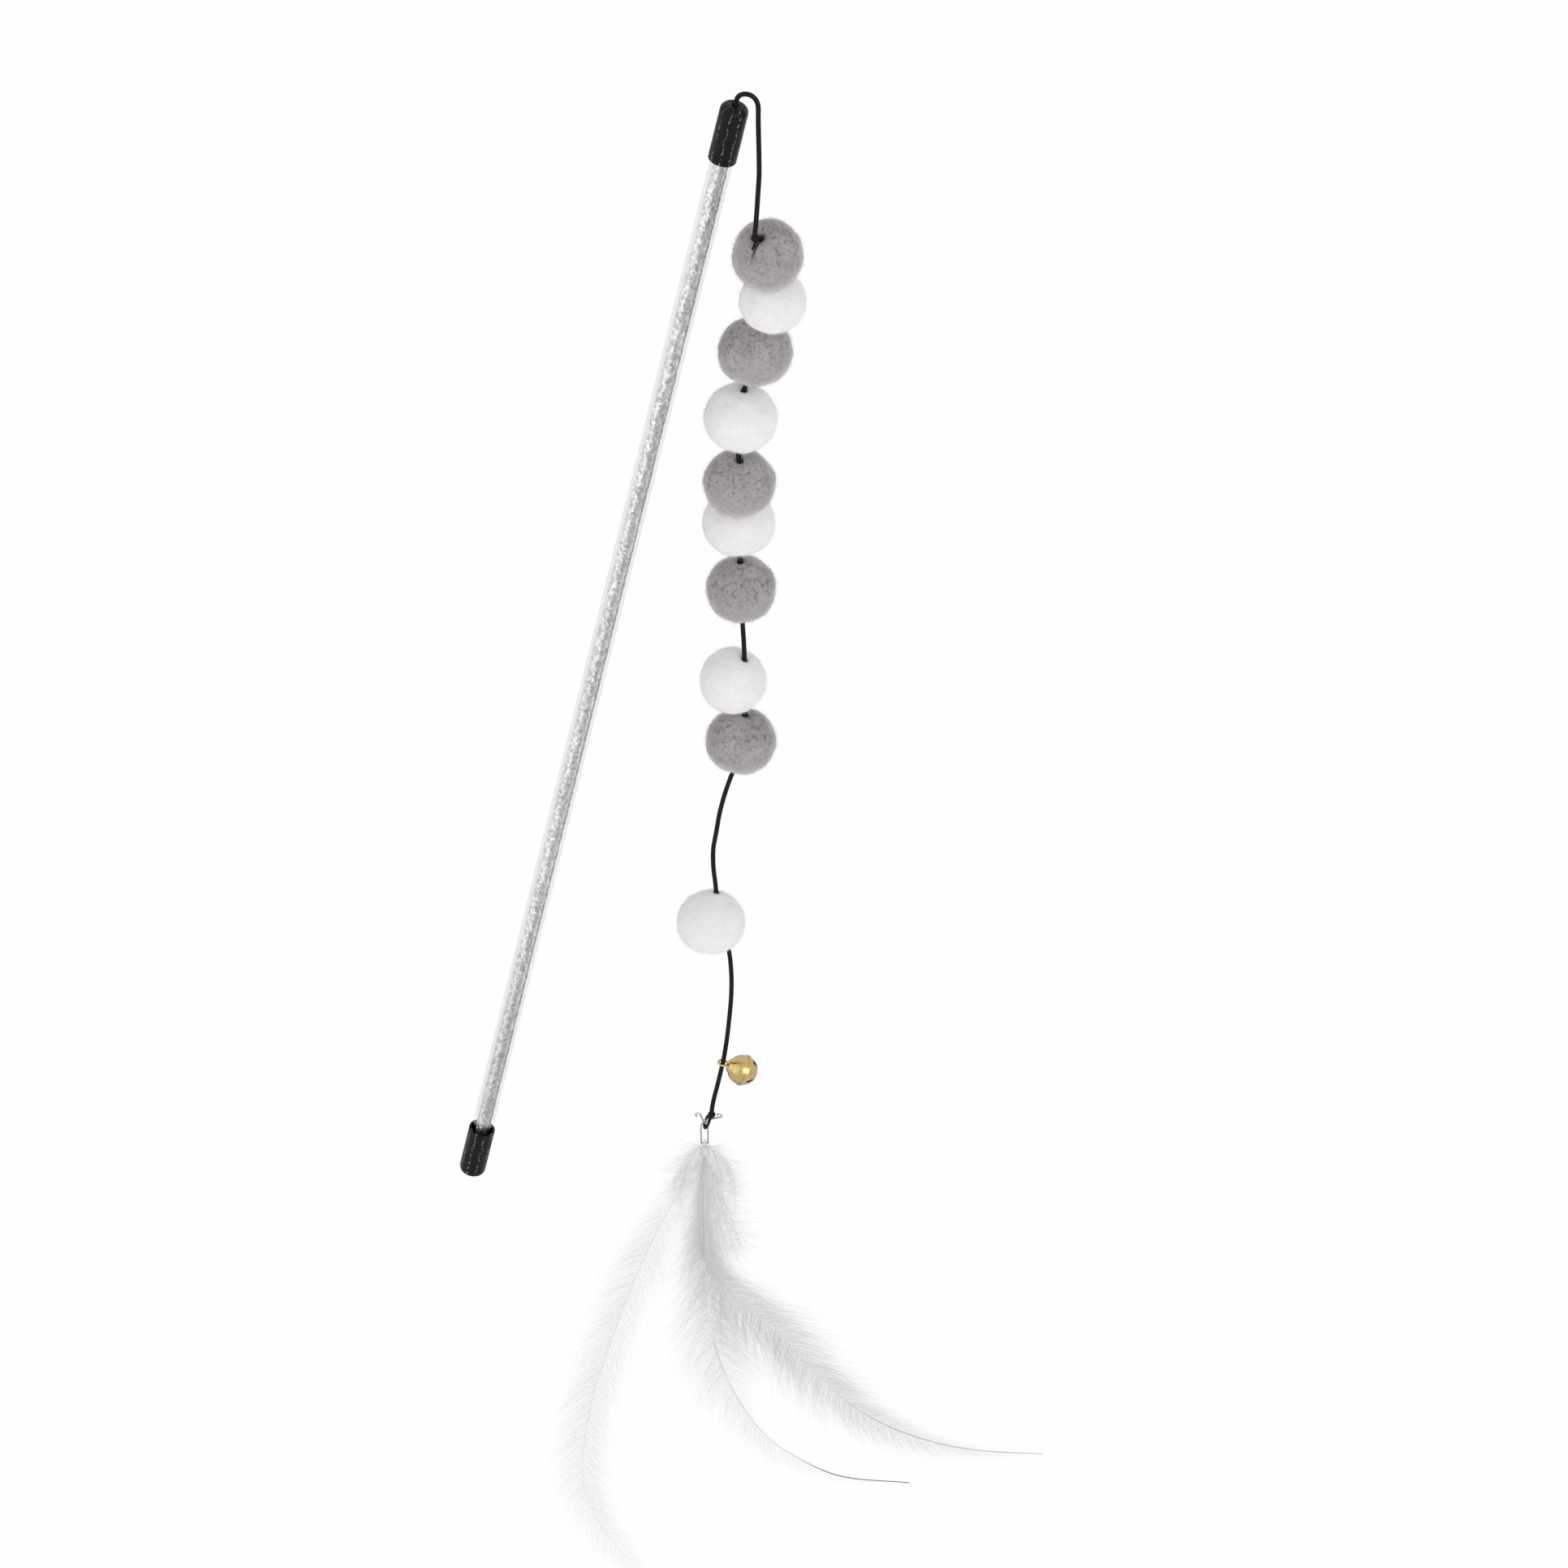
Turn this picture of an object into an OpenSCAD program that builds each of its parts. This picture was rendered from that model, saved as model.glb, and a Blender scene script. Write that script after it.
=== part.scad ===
// Cat teaser wand. A clear rod with a black cap at each end holds an elastic cord at its tip.
// Ten felt balls, a jingle bell and a clasp with feathers hang on the cord.
// Lengths are in millimetres. The origin is the middle of the grip on the handle cap.

/* [Wand] */
// Length of the wand over both caps
wand_l = 400; // [300:1:600]
// Lean of the wand from upright, in degrees
wand_lean = 12; // [9:0.5:20]
// Outer diameter of the clear tube
tube_d = 6.5; // [5.5:0.1:8]
// Wall of the clear tube
tube_wall = 0.8; // [0.5:0.05:1]
// Length of each cap
cap_l = 18; // [12:0.5:30]
// Wall of each cap's sleeve
cap_wall = 0.7; // [0.5:0.05:1.2]
// Thickness of each cap's closed end
cap_end = 3; // [2:0.1:5]
// Rounding of each cap's closed end
cap_round = 2; // [0.5:0.1:2.4]
// Clearance between a cap and the tube
cap_clear = 0.05; // [0.02:0.01:0.1]

/* [Film in the tube] */
// Thickness of the rolled film
film_t = 0.15; // [0.1:0.05:0.2]
// Turns of the roll
film_turns = 1.6; // [1.1:0.1:1.9]
// Step between one turn and the next
film_pitch = 0.55; // [0.45:0.05:0.65]
// Height of the crinkles in the film
film_crinkle = 0.08; // [0:0.02:0.1]
// Distance of the film's ends from the ends of the tube
film_inset = 6; // [5:0.5:30]
// Clearance between the film and the tube
film_clear = 0.1; // [0.05:0.05:0.3]

/* [Cord] */
// Diameter of the elastic cord
cord_d = 1.4; // [1:0.1:1.8]
// Size of the stop knot in the tip cap, across
stop_knot_d = 3.4; // [2.8:0.1:4]
// Size of the knot above the first ball and of the knot at the clasp, across
small_knot_d = 2.4; // [2:0.1:3]
// Clearance between pieces that move past each other
run_clear = 0.3; // [0.2:0.05:0.4]

/* [Balls] */
// Diameter of a felt ball
ball_d = 20; // [16:0.1:25]
// Diameter of the dimple where the cord goes into a ball
mouth_d = 5; // [4:0.1:7]
// Depth of that dimple
mouth_depth = 2.5; // [1.5:0.1:3.5]
// Width of the needle slit in the first ball
slit_w = 0.8; // [0.4:0.1:1.5]
// Length of the needle slit
slit_l = 8; // [4:0.5:12]

/* [Bell] */
// Diameter of the jingle bell
bell_d = 9.4; // [8:0.1:14]
// Wall of the bell's two shells
bell_wall = 0.4; // [0.3:0.05:0.6]
// How far the seam stands out round the bell
seam_out = 0.25; // [0.1:0.05:0.5]
// Height of the seam
seam_h = 0.7; // [0.4:0.1:1.2]
// Width of the sound slots
slot_w = 0.9; // [0.6:0.1:1.4]
// Diameter of the round ends of the slots
slot_hole_d = 1.6; // [1.2:0.1:2.2]
// Angle from the bell's nose to the slots' round ends
slot_reach = 62; // [45:1:70]
// Width of the top of the bell's neck, below the loop
neck_d = 3.4; // [2.4:0.1:4]
// Diameter of the loop's wire
loop_wire_d = 0.7; // [0.5:0.05:1]
// Length of the stem between the loop and the bell
stem_l = 0.3; // [0.2:0.1:2]
// Clearance of the stem in the shell's hole
stem_clear = 0.05; // [0.02:0.01:0.1]
// Diameter of the pellet in the bell
pellet_d = 3; // [2:0.1:4]
// How far the bell's nose droops, in degrees from square to the cord
bell_droop = 16; // [0:1:40]

/* [Clasp] */
// Diameter of the clasp's wire
wire_d = 0.55; // [0.4:0.05:0.7]
// Width of the long eye, between the middles of its wires
eye_w = 2.1; // [1.9:0.1:3]
// Length of the long eye below the cord's loop
eye_l = 7; // [5:0.5:12]
// Height of the arms above the cord's loop
arm_h = 5; // [4:0.5:8]
// Reach of the right arm
arm_reach = 4.6; // [3.5:0.1:6]
// Radius of the curled ear at the end of each arm
ear_r = 0.7; // [0.5:0.1:1]
// Diameter of the cord's small end loop, between the middles of its sides
end_loop_d = 4.2; // [4:0.1:6]
// Diameter of the stretched cord in that loop
end_loop_cord_d = 0.9; // [0.7:0.1:1]
// Lean of that loop from upright, in degrees
end_loop_lean = 25; // [20:1:30]

/* [Feathers] */
// Length of the left feather, root to tip
left_l = 182; // [100:1:250]
// Drop of the upper right feather, root to tip
upper_right_l = 139; // [80:1:180]
// Drop of the lower right feather, root to tip
lower_right_l = 145; // [90:1:200]
// Length of the short plume
plume_l = 60; // [30:1:70]
// Radius of a quill at its root
quill_r = 0.3; // [0.2:0.05:0.34]
// Step between the feathers, front to back, where they are bound
feather_step = 0.75; // [0.7:0.05:1]
// How far the long feathers bow forwards or backwards at their tips
feather_bow = 8; // [0:0.5:15]
// Diameter of the binding round the quills
binding_d = 3.2; // [3:0.1:5]
// Length of the binding below its loop
binding_l = 4; // [2:0.5:8]
// Thickness of the binding's loop
binding_loop_d = 0.6; // [0.4:0.05:0.7]

/* [Hidden] */
$fn = 48;

// One overrun serves all cuts.
cut = 1;

// Sizes that follow from the ones above.
cap_r = tube_d / 2 + cap_clear + cap_wall;
grip_at = (cap_round + cap_l) / 2;
film_r = tube_d / 2 - tube_wall - film_clear - film_crinkle;
cord_r = cord_d / 2;
bore_r = cord_r + run_clear;
bell_r = bell_d / 2;
bell_room_r = bell_r - bell_wall;
loop_ring_r = cord_r + run_clear + loop_wire_d / 2;
bell_reach = loop_ring_r + loop_wire_d / 2 + stem_l + bell_r;
end_loop_r = end_loop_d / 2;
end_loop_cord_r = end_loop_cord_d / 2;
binding_ring_r = wire_d / 2 + run_clear + binding_loop_d / 2;

// Vectors.
function unit(v) = v / norm(v);
function side_of(t) = unit(cross([0, 1, 0], t));
function heading(side, depth) = [sin(side) * cos(depth), sin(depth), -cos(side) * cos(depth)];

// The pivot is where the cord leaves the tip cap, just clear of the knot's neck.
wand_up = [sin(wand_lean), 0, cos(wand_lean)];
pivot = (wand_l - grip_at + cord_r + run_clear) * wand_up;

// Route of the cord from the pivot to the first ball, from the pivot.
tip_arc = [[0, 0, 0], [0.3, 0, 1.3], [1.1, -0.2, 2.4], [2.3, -0.6, 3], [3.7, -1, 3], [4.9, -1.4, 2.3],
           [5.7, -1.8, 1.1], [6, -2.2, -0.5], [6, -3.2, -4], [6.1, -4.9, -8.5], [6.2, -7, -13.5],
           [6.2, -9.2, -18], [5.9, -11, -22.5], [5.6, -12.4, -27], [5.3, -13.2, -31.3], [5.1, -13.6, -35.3]];
first_ball_at = [8.5, -8, -45];
// Route from the middle of the ninth ball to the tenth, and the middle of the tenth ball's bore.
wave = [[-3, 0.1, -13.5], [-5, 0.5, -21], [-6.5, 1.1, -28.5], [-7.5, 1.8, -36], [-8.5, 2.5, -43.5],
        [-8.5, 3, -51], [-8, 3.3, -57]];
last_bore_at = [-6.5, 3.4, -69.5];
// Route from the middle of the tenth ball's bore to the end knot. The bell hangs on one span of it.
low_run = [[2.5, 0, -15], [3, 0, -20.5], [3.2, 0, -26.8], [3, 0, -34.2], [2.4, 0, -42.2], [1.7, 0, -49.8],
           [0.7, 0, -57.8], [0, 0, -61.8], [-1.3, 0, -68.8], [-2.4, 0, -74.2], [-3, 0, -78]];
bell_span = 6;
end_knot_at = [-3.2, 0, -81];

// The balls: each one's size, and the way and the gap from each ball to the next, going down.
ball_size_shares = [1.015, 0.94, 1, 1.01, 1, 1.02, 1.005, 0.98, 1.015, 0.995];
link_angles = [[4.2, 18.1], [-13.8, 12.1], [-10.5, 0], [-1, 0], [-1, 22.8], [1.5, 0], [1.3, -2.4], [-2.7, -1.3]];
link_gap_shares = [0.071, 0.1, 0.1665, 0.133, 0.08, 0.2025, 0.6945, 0.0575];
// How far each bore turns to the cord's way in and to its way out.
bore_turn_shares = [[1, 1], [1, 1], [1, 1], [1, 1], [1, 1.4], [1.4, 1], [1, 1], [1, 1], [1, 1], [1, 1]];
// How far the middle of each ball lies from its bore, sideways and forwards. Two are strung off their middle.
off_bore_shares = [[0, 0], [0, 0], [0, 0], [0, 0], [0, 0], [0, 0], [0, 0], [0.17, -0.07], [0, 0], [0.14, 0.17]];
ball_colours = ["#9e989a", "#f0eeec"];

function ball_r(k) = ball_d / 2 * ball_size_shares[k];
function bore_mid(k) =
    k == 0 ? pivot + first_ball_at
    : k == 9 ? bore_mid(8) + last_bore_at
    : bore_mid(k - 1) + heading(link_angles[k - 1][0], link_angles[k - 1][1])
        * (ball_r(k - 1) + ball_r(k) + link_gap_shares[k - 1] * ball_d);
bore_mids = [for (k = [0:9]) bore_mid(k)];
tip_end = pivot + tip_arc[len(tip_arc) - 1];

// A ball's bore lies between the cord's way in and its way out.
function way_in(k) = k == 0 ? bore_mids[0] - tip_end
    : k == 9 ? last_bore_at - wave[len(wave) - 1]
    : bore_mids[k] - bore_mids[k - 1];
function way_out(k) = k == 8 ? wave[0] : k == 9 ? low_run[0] : bore_mids[k + 1] - bore_mids[k];
bore_dirs = [for (k = [0:9]) let (w = bore_turn_shares[k])
    unit(w[0] * unit(way_in(k)) + w[1] * unit(way_out(k)))];
function ball_middle(k) = bore_mids[k]
    - ball_d * (off_bore_shares[k][0] * side_of(-bore_dirs[k]) + off_bore_shares[k][1] * [0, 1, 0]);

// Half the straight stretch of a bore, which ends where its dimples start.
function straight(k) = ball_r(k) - mouth_depth;
function bore_in(k) = bore_mids[k] - straight(k) * bore_dirs[k];
function bore_out(k) = bore_mids[k] + straight(k) * bore_dirs[k];

// A smooth bridge from one bore to the next.
function bridge(p, v, q, w, n) = [for (i = [1:n]) let (t = i / (n + 1), l = norm(q - p))
    (2 * t ^ 3 - 3 * t ^ 2 + 1) * p + (t ^ 3 - 2 * t ^ 2 + t) * l * v
    + (3 * t ^ 2 - 2 * t ^ 3) * q + (t ^ 3 - t ^ 2) * l * w];
function to_next(k) = k > 7 ? []
    : bridge(bore_out(k), bore_dirs[k], bore_in(k + 1), bore_dirs[k + 1], k == 6 ? 4 : 2);

route = concat(
    [for (p = tip_arc) pivot + p],
    [for (k = [0:8]) each concat([bore_in(k), bore_out(k)], to_next(k))],
    [for (p = wave) bore_mids[8] + p],
    [bore_in(9), bore_out(9)],
    [for (p = low_run) bore_mids[9] + p],
    [bore_mids[9] + end_knot_at]);

function steps(p) = [for (i = [1:len(p) - 1]) norm(p[i] - p[i - 1])];
function total(v, i = 0) = i == len(v) ? 0 : v[i] + total(v, i + 1);
echo(cord_length = total(steps(route)), rings = len(route));

// Places on the cord: the bell's loop, the end knot, and the pin that the clasp hangs on.
loop_top = bore_mids[9] + low_run[bell_span];
loop_bottom = bore_mids[9] + low_run[bell_span + 1];
loop_at = (loop_top + loop_bottom) / 2;
loop_up = unit(loop_top - loop_bottom);
end_knot = bore_mids[9] + end_knot_at;
end_loop_up = [sin(end_loop_lean), 0, cos(end_loop_lean)];
end_loop_mid = end_knot - (end_loop_r + small_knot_d / 2) * end_loop_up;
clasp_pin = end_loop_mid - end_loop_r * end_loop_up;
bell_tilt = 90 + atan2(loop_up[0], loop_up[2]) + bell_droop;
bell_mid = loop_at + bell_reach * [sin(bell_tilt), 0, cos(bell_tilt)];
feather_pin = clasp_pin - [0, 0, eye_l];
quill_roots = feather_pin - [0, 0, binding_ring_r + binding_l];

module aim(v) rotate([0, acos(v[2] / norm(v)), atan2(v[1], v[0])]) children();
module on_wand() rotate([0, wand_lean, 0]) translate([0, 0, -grip_at]) children();
module ring(r, wire_r) rotate_extrude() translate([r, 0]) circle(r = wire_r);

// A closed skin over rings of points, which all have the same count.
function skin_faces(rings, n) = let (last = (rings - 1) * n) concat(
    [for (k = [1:n - 2]) [0, k, k + 1]],
    [for (i = [0:rings - 2], k = [0:n - 1]) let (a = i * n + k, b = i * n + (k + 1) % n) [a, a + n, b + n]],
    [for (i = [0:rings - 2], k = [0:n - 1]) let (a = i * n + k, b = i * n + (k + 1) % n) [a, b + n, b]],
    [for (k = [1:n - 2]) [last, last + k + 1, last + k]]);
module skin(rings) {
    polyhedron(points = [for (r = rings) each r], faces = skin_faces(len(rings), len(rings[0])));
}

// A round wire or cord along a list of points.
wire_sides = 8;
function along(p, i) = unit(p[min(i + 1, len(p) - 1)] - p[max(i - 1, 0)]);
function wire_ring(c, t, r) = let (s = side_of(t), u = cross(t, s))
    [for (k = [0:wire_sides - 1]) let (a = 360 * k / wire_sides) c + r * (cos(a) * s + sin(a) * u)];
module wire(p, r) skin([for (i = [0:len(p) - 1]) wire_ring(p[i], along(p, i), r)]);

// A rubber cap: a sleeve with one closed, rounded end at the height zero.
module cap_profile() {
    difference() {
        union() {
            translate([0, cap_round]) square([cap_r, cap_l - cap_round]);
            square([cap_r - cap_round, cap_l]);
            translate([cap_r - cap_round, cap_round]) circle(r = cap_round);
        }
        translate([0, cap_end]) square([tube_d / 2 + cap_clear, cap_l]);
    }
}

module handle_cap() {
    color("#212121") on_wand() rotate_extrude() cap_profile();
}

module tip_cap() {
    color("#212121") on_wand() difference() {
        translate([0, 0, wand_l]) mirror([0, 0, 1]) rotate_extrude() cap_profile();
        translate([0, 0, wand_l - cap_end - cut]) cylinder(r = bore_r, h = cap_end + 2 * cut);
    }
}

module clear_tube() {
    color("#dfe3e6", 0.4) on_wand() translate([0, 0, cap_end]) difference() {
        cylinder(d = tube_d, h = wand_l - 2 * cap_end);
        translate([0, 0, -cut]) cylinder(d = tube_d - 2 * tube_wall, h = wand_l + 2 * cut);
    }
}

// The film is a spiral strip, with a crinkle at every other corner.
film_corners = round(24 * film_turns);
function film_edge(inner) = [for (i = [0:film_corners]) let (a = i * 360 * film_turns / film_corners)
    (film_r - film_pitch * a / 360 + film_crinkle * (i % 2 * 2 - 1) - inner) * [cos(a), sin(a)]];
module foil_roll() {
    inner = film_edge(film_t);
    color("#b9bcbf") on_wand() translate([0, 0, cap_end + film_inset])
        linear_extrude(wand_l - 2 * (cap_end + film_inset))
            polygon(concat(film_edge(0), [for (i = [film_corners:-1:0]) inner[i]]));
}

// A knot is two pulled turns of cord round its core. Pulled cord is thinner than loose cord.
turn_step_share = 0.8;
knot_pull_share = 0.75;
module knot(across, thick) {
    turn_r = (across - thick) / 2;
    turn_h = thick * turn_step_share / 2;
    rotate_extrude() {
        for (side = [-1, 1]) translate([turn_r, side * turn_h]) circle(d = thick);
        translate([0, -turn_h]) square([turn_r, 2 * turn_h]);
    }
}

module cord_stop_knot() {
    color("#191919") on_wand() {
        translate([0, 0, wand_l - cap_end - run_clear - stop_knot_d / 2]) knot(stop_knot_d, cord_d);
        translate([0, 0, wand_l - cap_end - run_clear - stop_knot_d / 2])
            cylinder(d = cord_d, h = cap_end + run_clear + stop_knot_d / 2);
    }
}

module tail_cord() {
    color("#191919") wire(route, cord_r);
}

module upper_cord_knot() {
    color("#191919") translate(tip_end) aim(tip_end - bore_in(0)) knot(small_knot_d, cord_d * knot_pull_share);
}

// A ball is turned with its bore. One that is strung off its middle stays upright.
function ball_up(k) = norm(off_bore_shares[k]) > 0 ? [0, 0, 1] : -bore_dirs[k];
module felt_ball(k) {
    r = ball_r(k);
    color(ball_colours[k % 2]) difference() {
        translate(ball_middle(k)) aim(ball_up(k)) mirror([1, 0, 0]) sphere(r = r, $fn = 64);
        translate(bore_mids[k]) aim(-bore_dirs[k]) {
            cylinder(r = bore_r, h = 2 * (r + cut), center = true);
            for (end = [0, 1]) mirror([0, 0, end]) translate([0, 0, straight(k)])
                cylinder(r1 = bore_r, r2 = bore_r + (mouth_d / 2 - bore_r) * (mouth_depth + cut) / mouth_depth,
                         h = mouth_depth + cut);
            if (k == 0) translate([0, -slit_w / 2, straight(k)]) cube([slit_l, slit_w, mouth_depth + cut]);
        }
    }
}

// The bell, drawn with its loop end up and its nose down, about its middle.
module at_bell() translate(bell_mid) rotate([0, bell_tilt - 180, 0]) children();
module half_shell() {
    difference() {
        sphere(r = bell_r);
        sphere(r = bell_room_r);
        translate([0, 0, -bell_d / 2]) cube([2 * bell_d, 2 * bell_d, bell_d], center = true);
    }
}

// The top shell draws in to a neck below its loop. The neck starts in the shell's wall.
neck_from = 50;
neck_foot_r = bell_r - bell_wall / 2;
neck_foot = neck_foot_r * cos(neck_from);
neck_top = bell_r + stem_l / 2;
module bell_top_shell() {
    color("#c9a84c") at_bell() difference() {
        union() {
            half_shell();
            translate([0, 0, neck_foot])
                cylinder(r1 = neck_foot_r * sin(neck_from), r2 = neck_d / 2, h = neck_top - neck_foot);
        }
        sphere(r = bell_room_r);
        cylinder(d = loop_wire_d + 2 * stem_clear, h = bell_d);
    }
}

module bell_bottom_shell() {
    color("#c9a84c") at_bell() difference() {
        union() {
            mirror([0, 0, 1]) half_shell();
            translate([0, 0, -seam_h]) difference() {
                cylinder(r = bell_r + seam_out, h = seam_h);
                translate([0, 0, -cut]) cylinder(r = bell_r - bell_wall / 2, h = seam_h + 2 * cut);
            }
        }
        for (turn = [0, 90]) rotate([0, 0, turn]) {
            translate([0, 0, -bell_r * cos(slot_reach)]) mirror([0, 0, 1])
                translate([-bell_r * sin(slot_reach), -slot_w / 2, 0])
                    cube([bell_d * sin(slot_reach), slot_w, bell_r]);
            for (side = [-1, 1]) rotate([0, 180 + side * slot_reach, 0])
                cylinder(d = slot_hole_d, h = bell_d);
        }
    }
}

// The loop's stem goes through the top shell and ends in a small rivet head inside.
rivet_d = 2 * loop_wire_d;
rivet_h = loop_wire_d / 2;
module bell_loop() {
    color("#c9a84c") {
        translate(loop_at) aim(loop_up) ring(loop_ring_r, loop_wire_d / 2);
        at_bell() {
            stem_foot = bell_room_r - stem_clear - rivet_h;
            translate([0, 0, stem_foot]) cylinder(d = loop_wire_d, h = bell_reach - loop_ring_r - stem_foot);
            translate([0, 0, stem_foot]) cylinder(d = rivet_d, h = rivet_h / 2);
        }
    }
}

// The pellet rests on the lowest place inside the bell.
module bell_pellet() {
    color("#8f8f8f") translate(bell_mid - [0, 0, bell_room_r - pellet_d / 2 - stem_clear]) sphere(d = pellet_d);
}

// The cord ends in a knot and a small loop that holds the clasp.
module cord_end_knot() {
    color("#191919") {
        translate(end_knot) aim(end_loop_up) knot(small_knot_d, cord_d * knot_pull_share);
        translate(end_loop_mid) rotate([0, end_loop_lean, 0]) rotate([0, 90, 0])
            ring(end_loop_r, end_loop_cord_r);
    }
}

// The clasp is one wire: an ear, an arm, the long eye, and the other arm and ear. The arms cross.
half_eye = eye_w / 2;
cross_h = 1.6 * half_eye;
arm_gap = wire_d * 0.65;
function arc_points(mid, r, from, to, n) =
    [for (i = [0:n]) let (a = from + (to - from) * i / n) mid + r * [cos(a), 0, sin(a)]];
left_ear_mid = [-arm_h / 4 - ear_r, -arm_gap, arm_h];
right_ear_mid = [arm_reach, arm_gap, arm_h * 0.8];
clasp_route = concat(
    arc_points(left_ear_mid, ear_r, 230, 0, 6),
    [[-half_eye * 0.45, -arm_gap, cross_h + arm_h / 4],
     [0, -arm_gap, cross_h],
     [half_eye * 0.6, -arm_gap * 0.7, cross_h * 0.5],
     [half_eye, 0, -cross_h * 0.25],
     [half_eye, 0, -eye_l + half_eye * 0.5]],
    arc_points([half_eye * 0.5, 0, -eye_l + half_eye * 0.5], half_eye * 0.5, -30, -90, 2),
    arc_points([-half_eye * 0.5, 0, -eye_l + half_eye * 0.5], half_eye * 0.5, -90, -150, 2),
    [[-half_eye, 0, -eye_l + half_eye * 0.5],
     [-half_eye, 0, -cross_h * 0.25],
     [-half_eye * 0.6, arm_gap * 0.7, cross_h * 0.5],
     [0, arm_gap, cross_h],
     [arm_reach / 2, arm_gap, cross_h + arm_h * 0.2]],
    arc_points(right_ear_mid, ear_r, -60, 150, 6));
module clasp_wire() {
    color("#b4b4b6") translate(clasp_pin) wire(clasp_route, wire_d / 2);
}

// The binding has a loop on the clasp's lower bend and a neck that widens over the quills.
module quill_binding() {
    color("#dcdcda") {
        translate(feather_pin) rotate([0, 90, 0]) ring(binding_ring_r, binding_loop_d / 2);
        translate(quill_roots) cylinder(d = binding_d, h = binding_l * 0.6);
        translate(quill_roots + [0, 0, binding_l * 0.6])
            cylinder(d1 = binding_d, d2 = binding_loop_d * 2, h = binding_l * 0.4);
    }
}

// A feather is a thin vane on a quill. Each row of its table of shares of its length holds the
// quill's place, sideways and down, and the vane's width to its left and its right.
function feather_place(row, l, layer, bow) =
    quill_roots + [row[0] * l, layer * feather_step + bow * feather_bow * row[1] ^ 2, -row[1] * l];
function feather_ring(c, t, left_w, right_w, q) = let (s = side_of(t), u = cross(t, s))
    [c - max(left_w, q) * s, c - q * s / 2 + q * u, c + q * s / 2 + q * u,
     c + max(right_w, q) * s, c + q * s / 2 - q * u, c - q * s / 2 - q * u];
module feather(rows, l, layer, bow) {
    places = [for (row = rows) feather_place(row, l, layer, bow)];
    n = len(rows);
    color("#f4f3f1") skin([for (i = [0:n - 1]) feather_ring(places[i], along(places, i),
        rows[i][2] * l, rows[i][3] * l, quill_r * (1 - 0.8 * i / (n - 1)))]);
}

left_shares = [[0, 0, 0, 0], [-0.03, 0.05, 0, 0], [-0.065, 0.13, 0.015, 0.02], [-0.1, 0.22, 0.035, 0.04],
    [-0.14, 0.34, 0.045, 0.055], [-0.175, 0.46, 0.05, 0.055], [-0.205, 0.58, 0.05, 0.055],
    [-0.22, 0.7, 0.05, 0.05], [-0.215, 0.79, 0.045, 0.045], [-0.185, 0.87, 0.035, 0.04],
    [-0.14, 0.94, 0.02, 0.03], [-0.09, 1, 0, 0]];
upper_right_shares = [[0, 0, 0, 0], [-0.01, 0.08, 0, 0], [-0.015, 0.2, 0.02, 0.02], [0, 0.34, 0.06, 0.05],
    [0.07, 0.46, 0.08, 0.075], [0.17, 0.58, 0.08, 0.085], [0.27, 0.74, 0.07, 0.08],
    [0.37, 0.86, 0.05, 0.07], [0.49, 0.94, 0.03, 0.05], [0.62, 0.985, 0.015, 0.03], [0.78, 1, 0, 0]];
lower_right_shares = [[0, 0, 0, 0], [-0.005, 0.08, 0, 0], [-0.005, 0.2, 0.02, 0.02], [0, 0.36, 0.04, 0.05],
    [0.01, 0.52, 0.05, 0.07], [0.035, 0.64, 0.04, 0.075], [0.075, 0.75, 0.02, 0.07],
    [0.13, 0.85, 0.01, 0.055], [0.2, 0.92, 0.01, 0.035], [0.3, 0.98, 0.01, 0.02], [0.45, 1, 0, 0]];

module feather_left() {
    feather(left_shares, left_l, -0.5, -1);
}

module feather_lower_right() {
    feather(lower_right_shares, lower_right_l, 0.5, 0.2);
}

module feather_upper_right() {
    feather(upper_right_shares, upper_right_l, 1.5, 1);
}

// The short plume is fluff that bulges forwards, in front of the long quills. Each row holds its
// place, sideways and down, its half width and its bulge.
plume_shares = [[0, 0, 0.01, 0.01], [0.01, 0.07, 0.1, 0.04], [0.02, 0.17, 0.19, 0.075], [0.04, 0.32, 0.23, 0.09],
    [0.05, 0.5, 0.215, 0.09], [0.06, 0.68, 0.17, 0.07], [0.06, 0.83, 0.12, 0.05], [0.06, 0.94, 0.07, 0.03],
    [0.06, 1, 0.02, 0.012]];
function plume_ring(row) =
    let (c = quill_roots + [row[0] * plume_l, -1.5 * feather_step + quill_r * 0.8, -row[1] * plume_l],
         w = row[2] * plume_l, b = row[3] * plume_l)
    [for (k = [0:6]) let (a = 180 * k / 6) c + [-w * cos(a), -b * sin(a), 0]];
module short_plume() {
    color("#f4f3f1") skin([for (row = plume_shares) plume_ring(row)]);
}

handle_cap();
clear_tube();
foil_roll();
tip_cap();
cord_stop_knot();
tail_cord();
upper_cord_knot();
for (k = [0:9]) felt_ball(k);
bell_top_shell();
bell_bottom_shell();
bell_loop();
bell_pellet();
cord_end_knot();
clasp_wire();
quill_binding();
short_plume();
feather_left();
feather_lower_right();
feather_upper_right();
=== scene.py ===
# %% [markdown]
# # A cat teaser wand
# The real toy is a clear rod filled with crinkled silver film. A black rubber cap closes each end.
# An elastic cord leaves the tip cap and carries ten felt balls, a gold jingle bell and a wire
# clasp with loose white feathers.
#
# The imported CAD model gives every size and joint. This lesson dresses it: it keeps the frame fixed
# and builds each visible surface on it, in metres, in the same place.

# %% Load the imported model
import math

import bpy
import numpy as np
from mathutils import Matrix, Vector, noise


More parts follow.
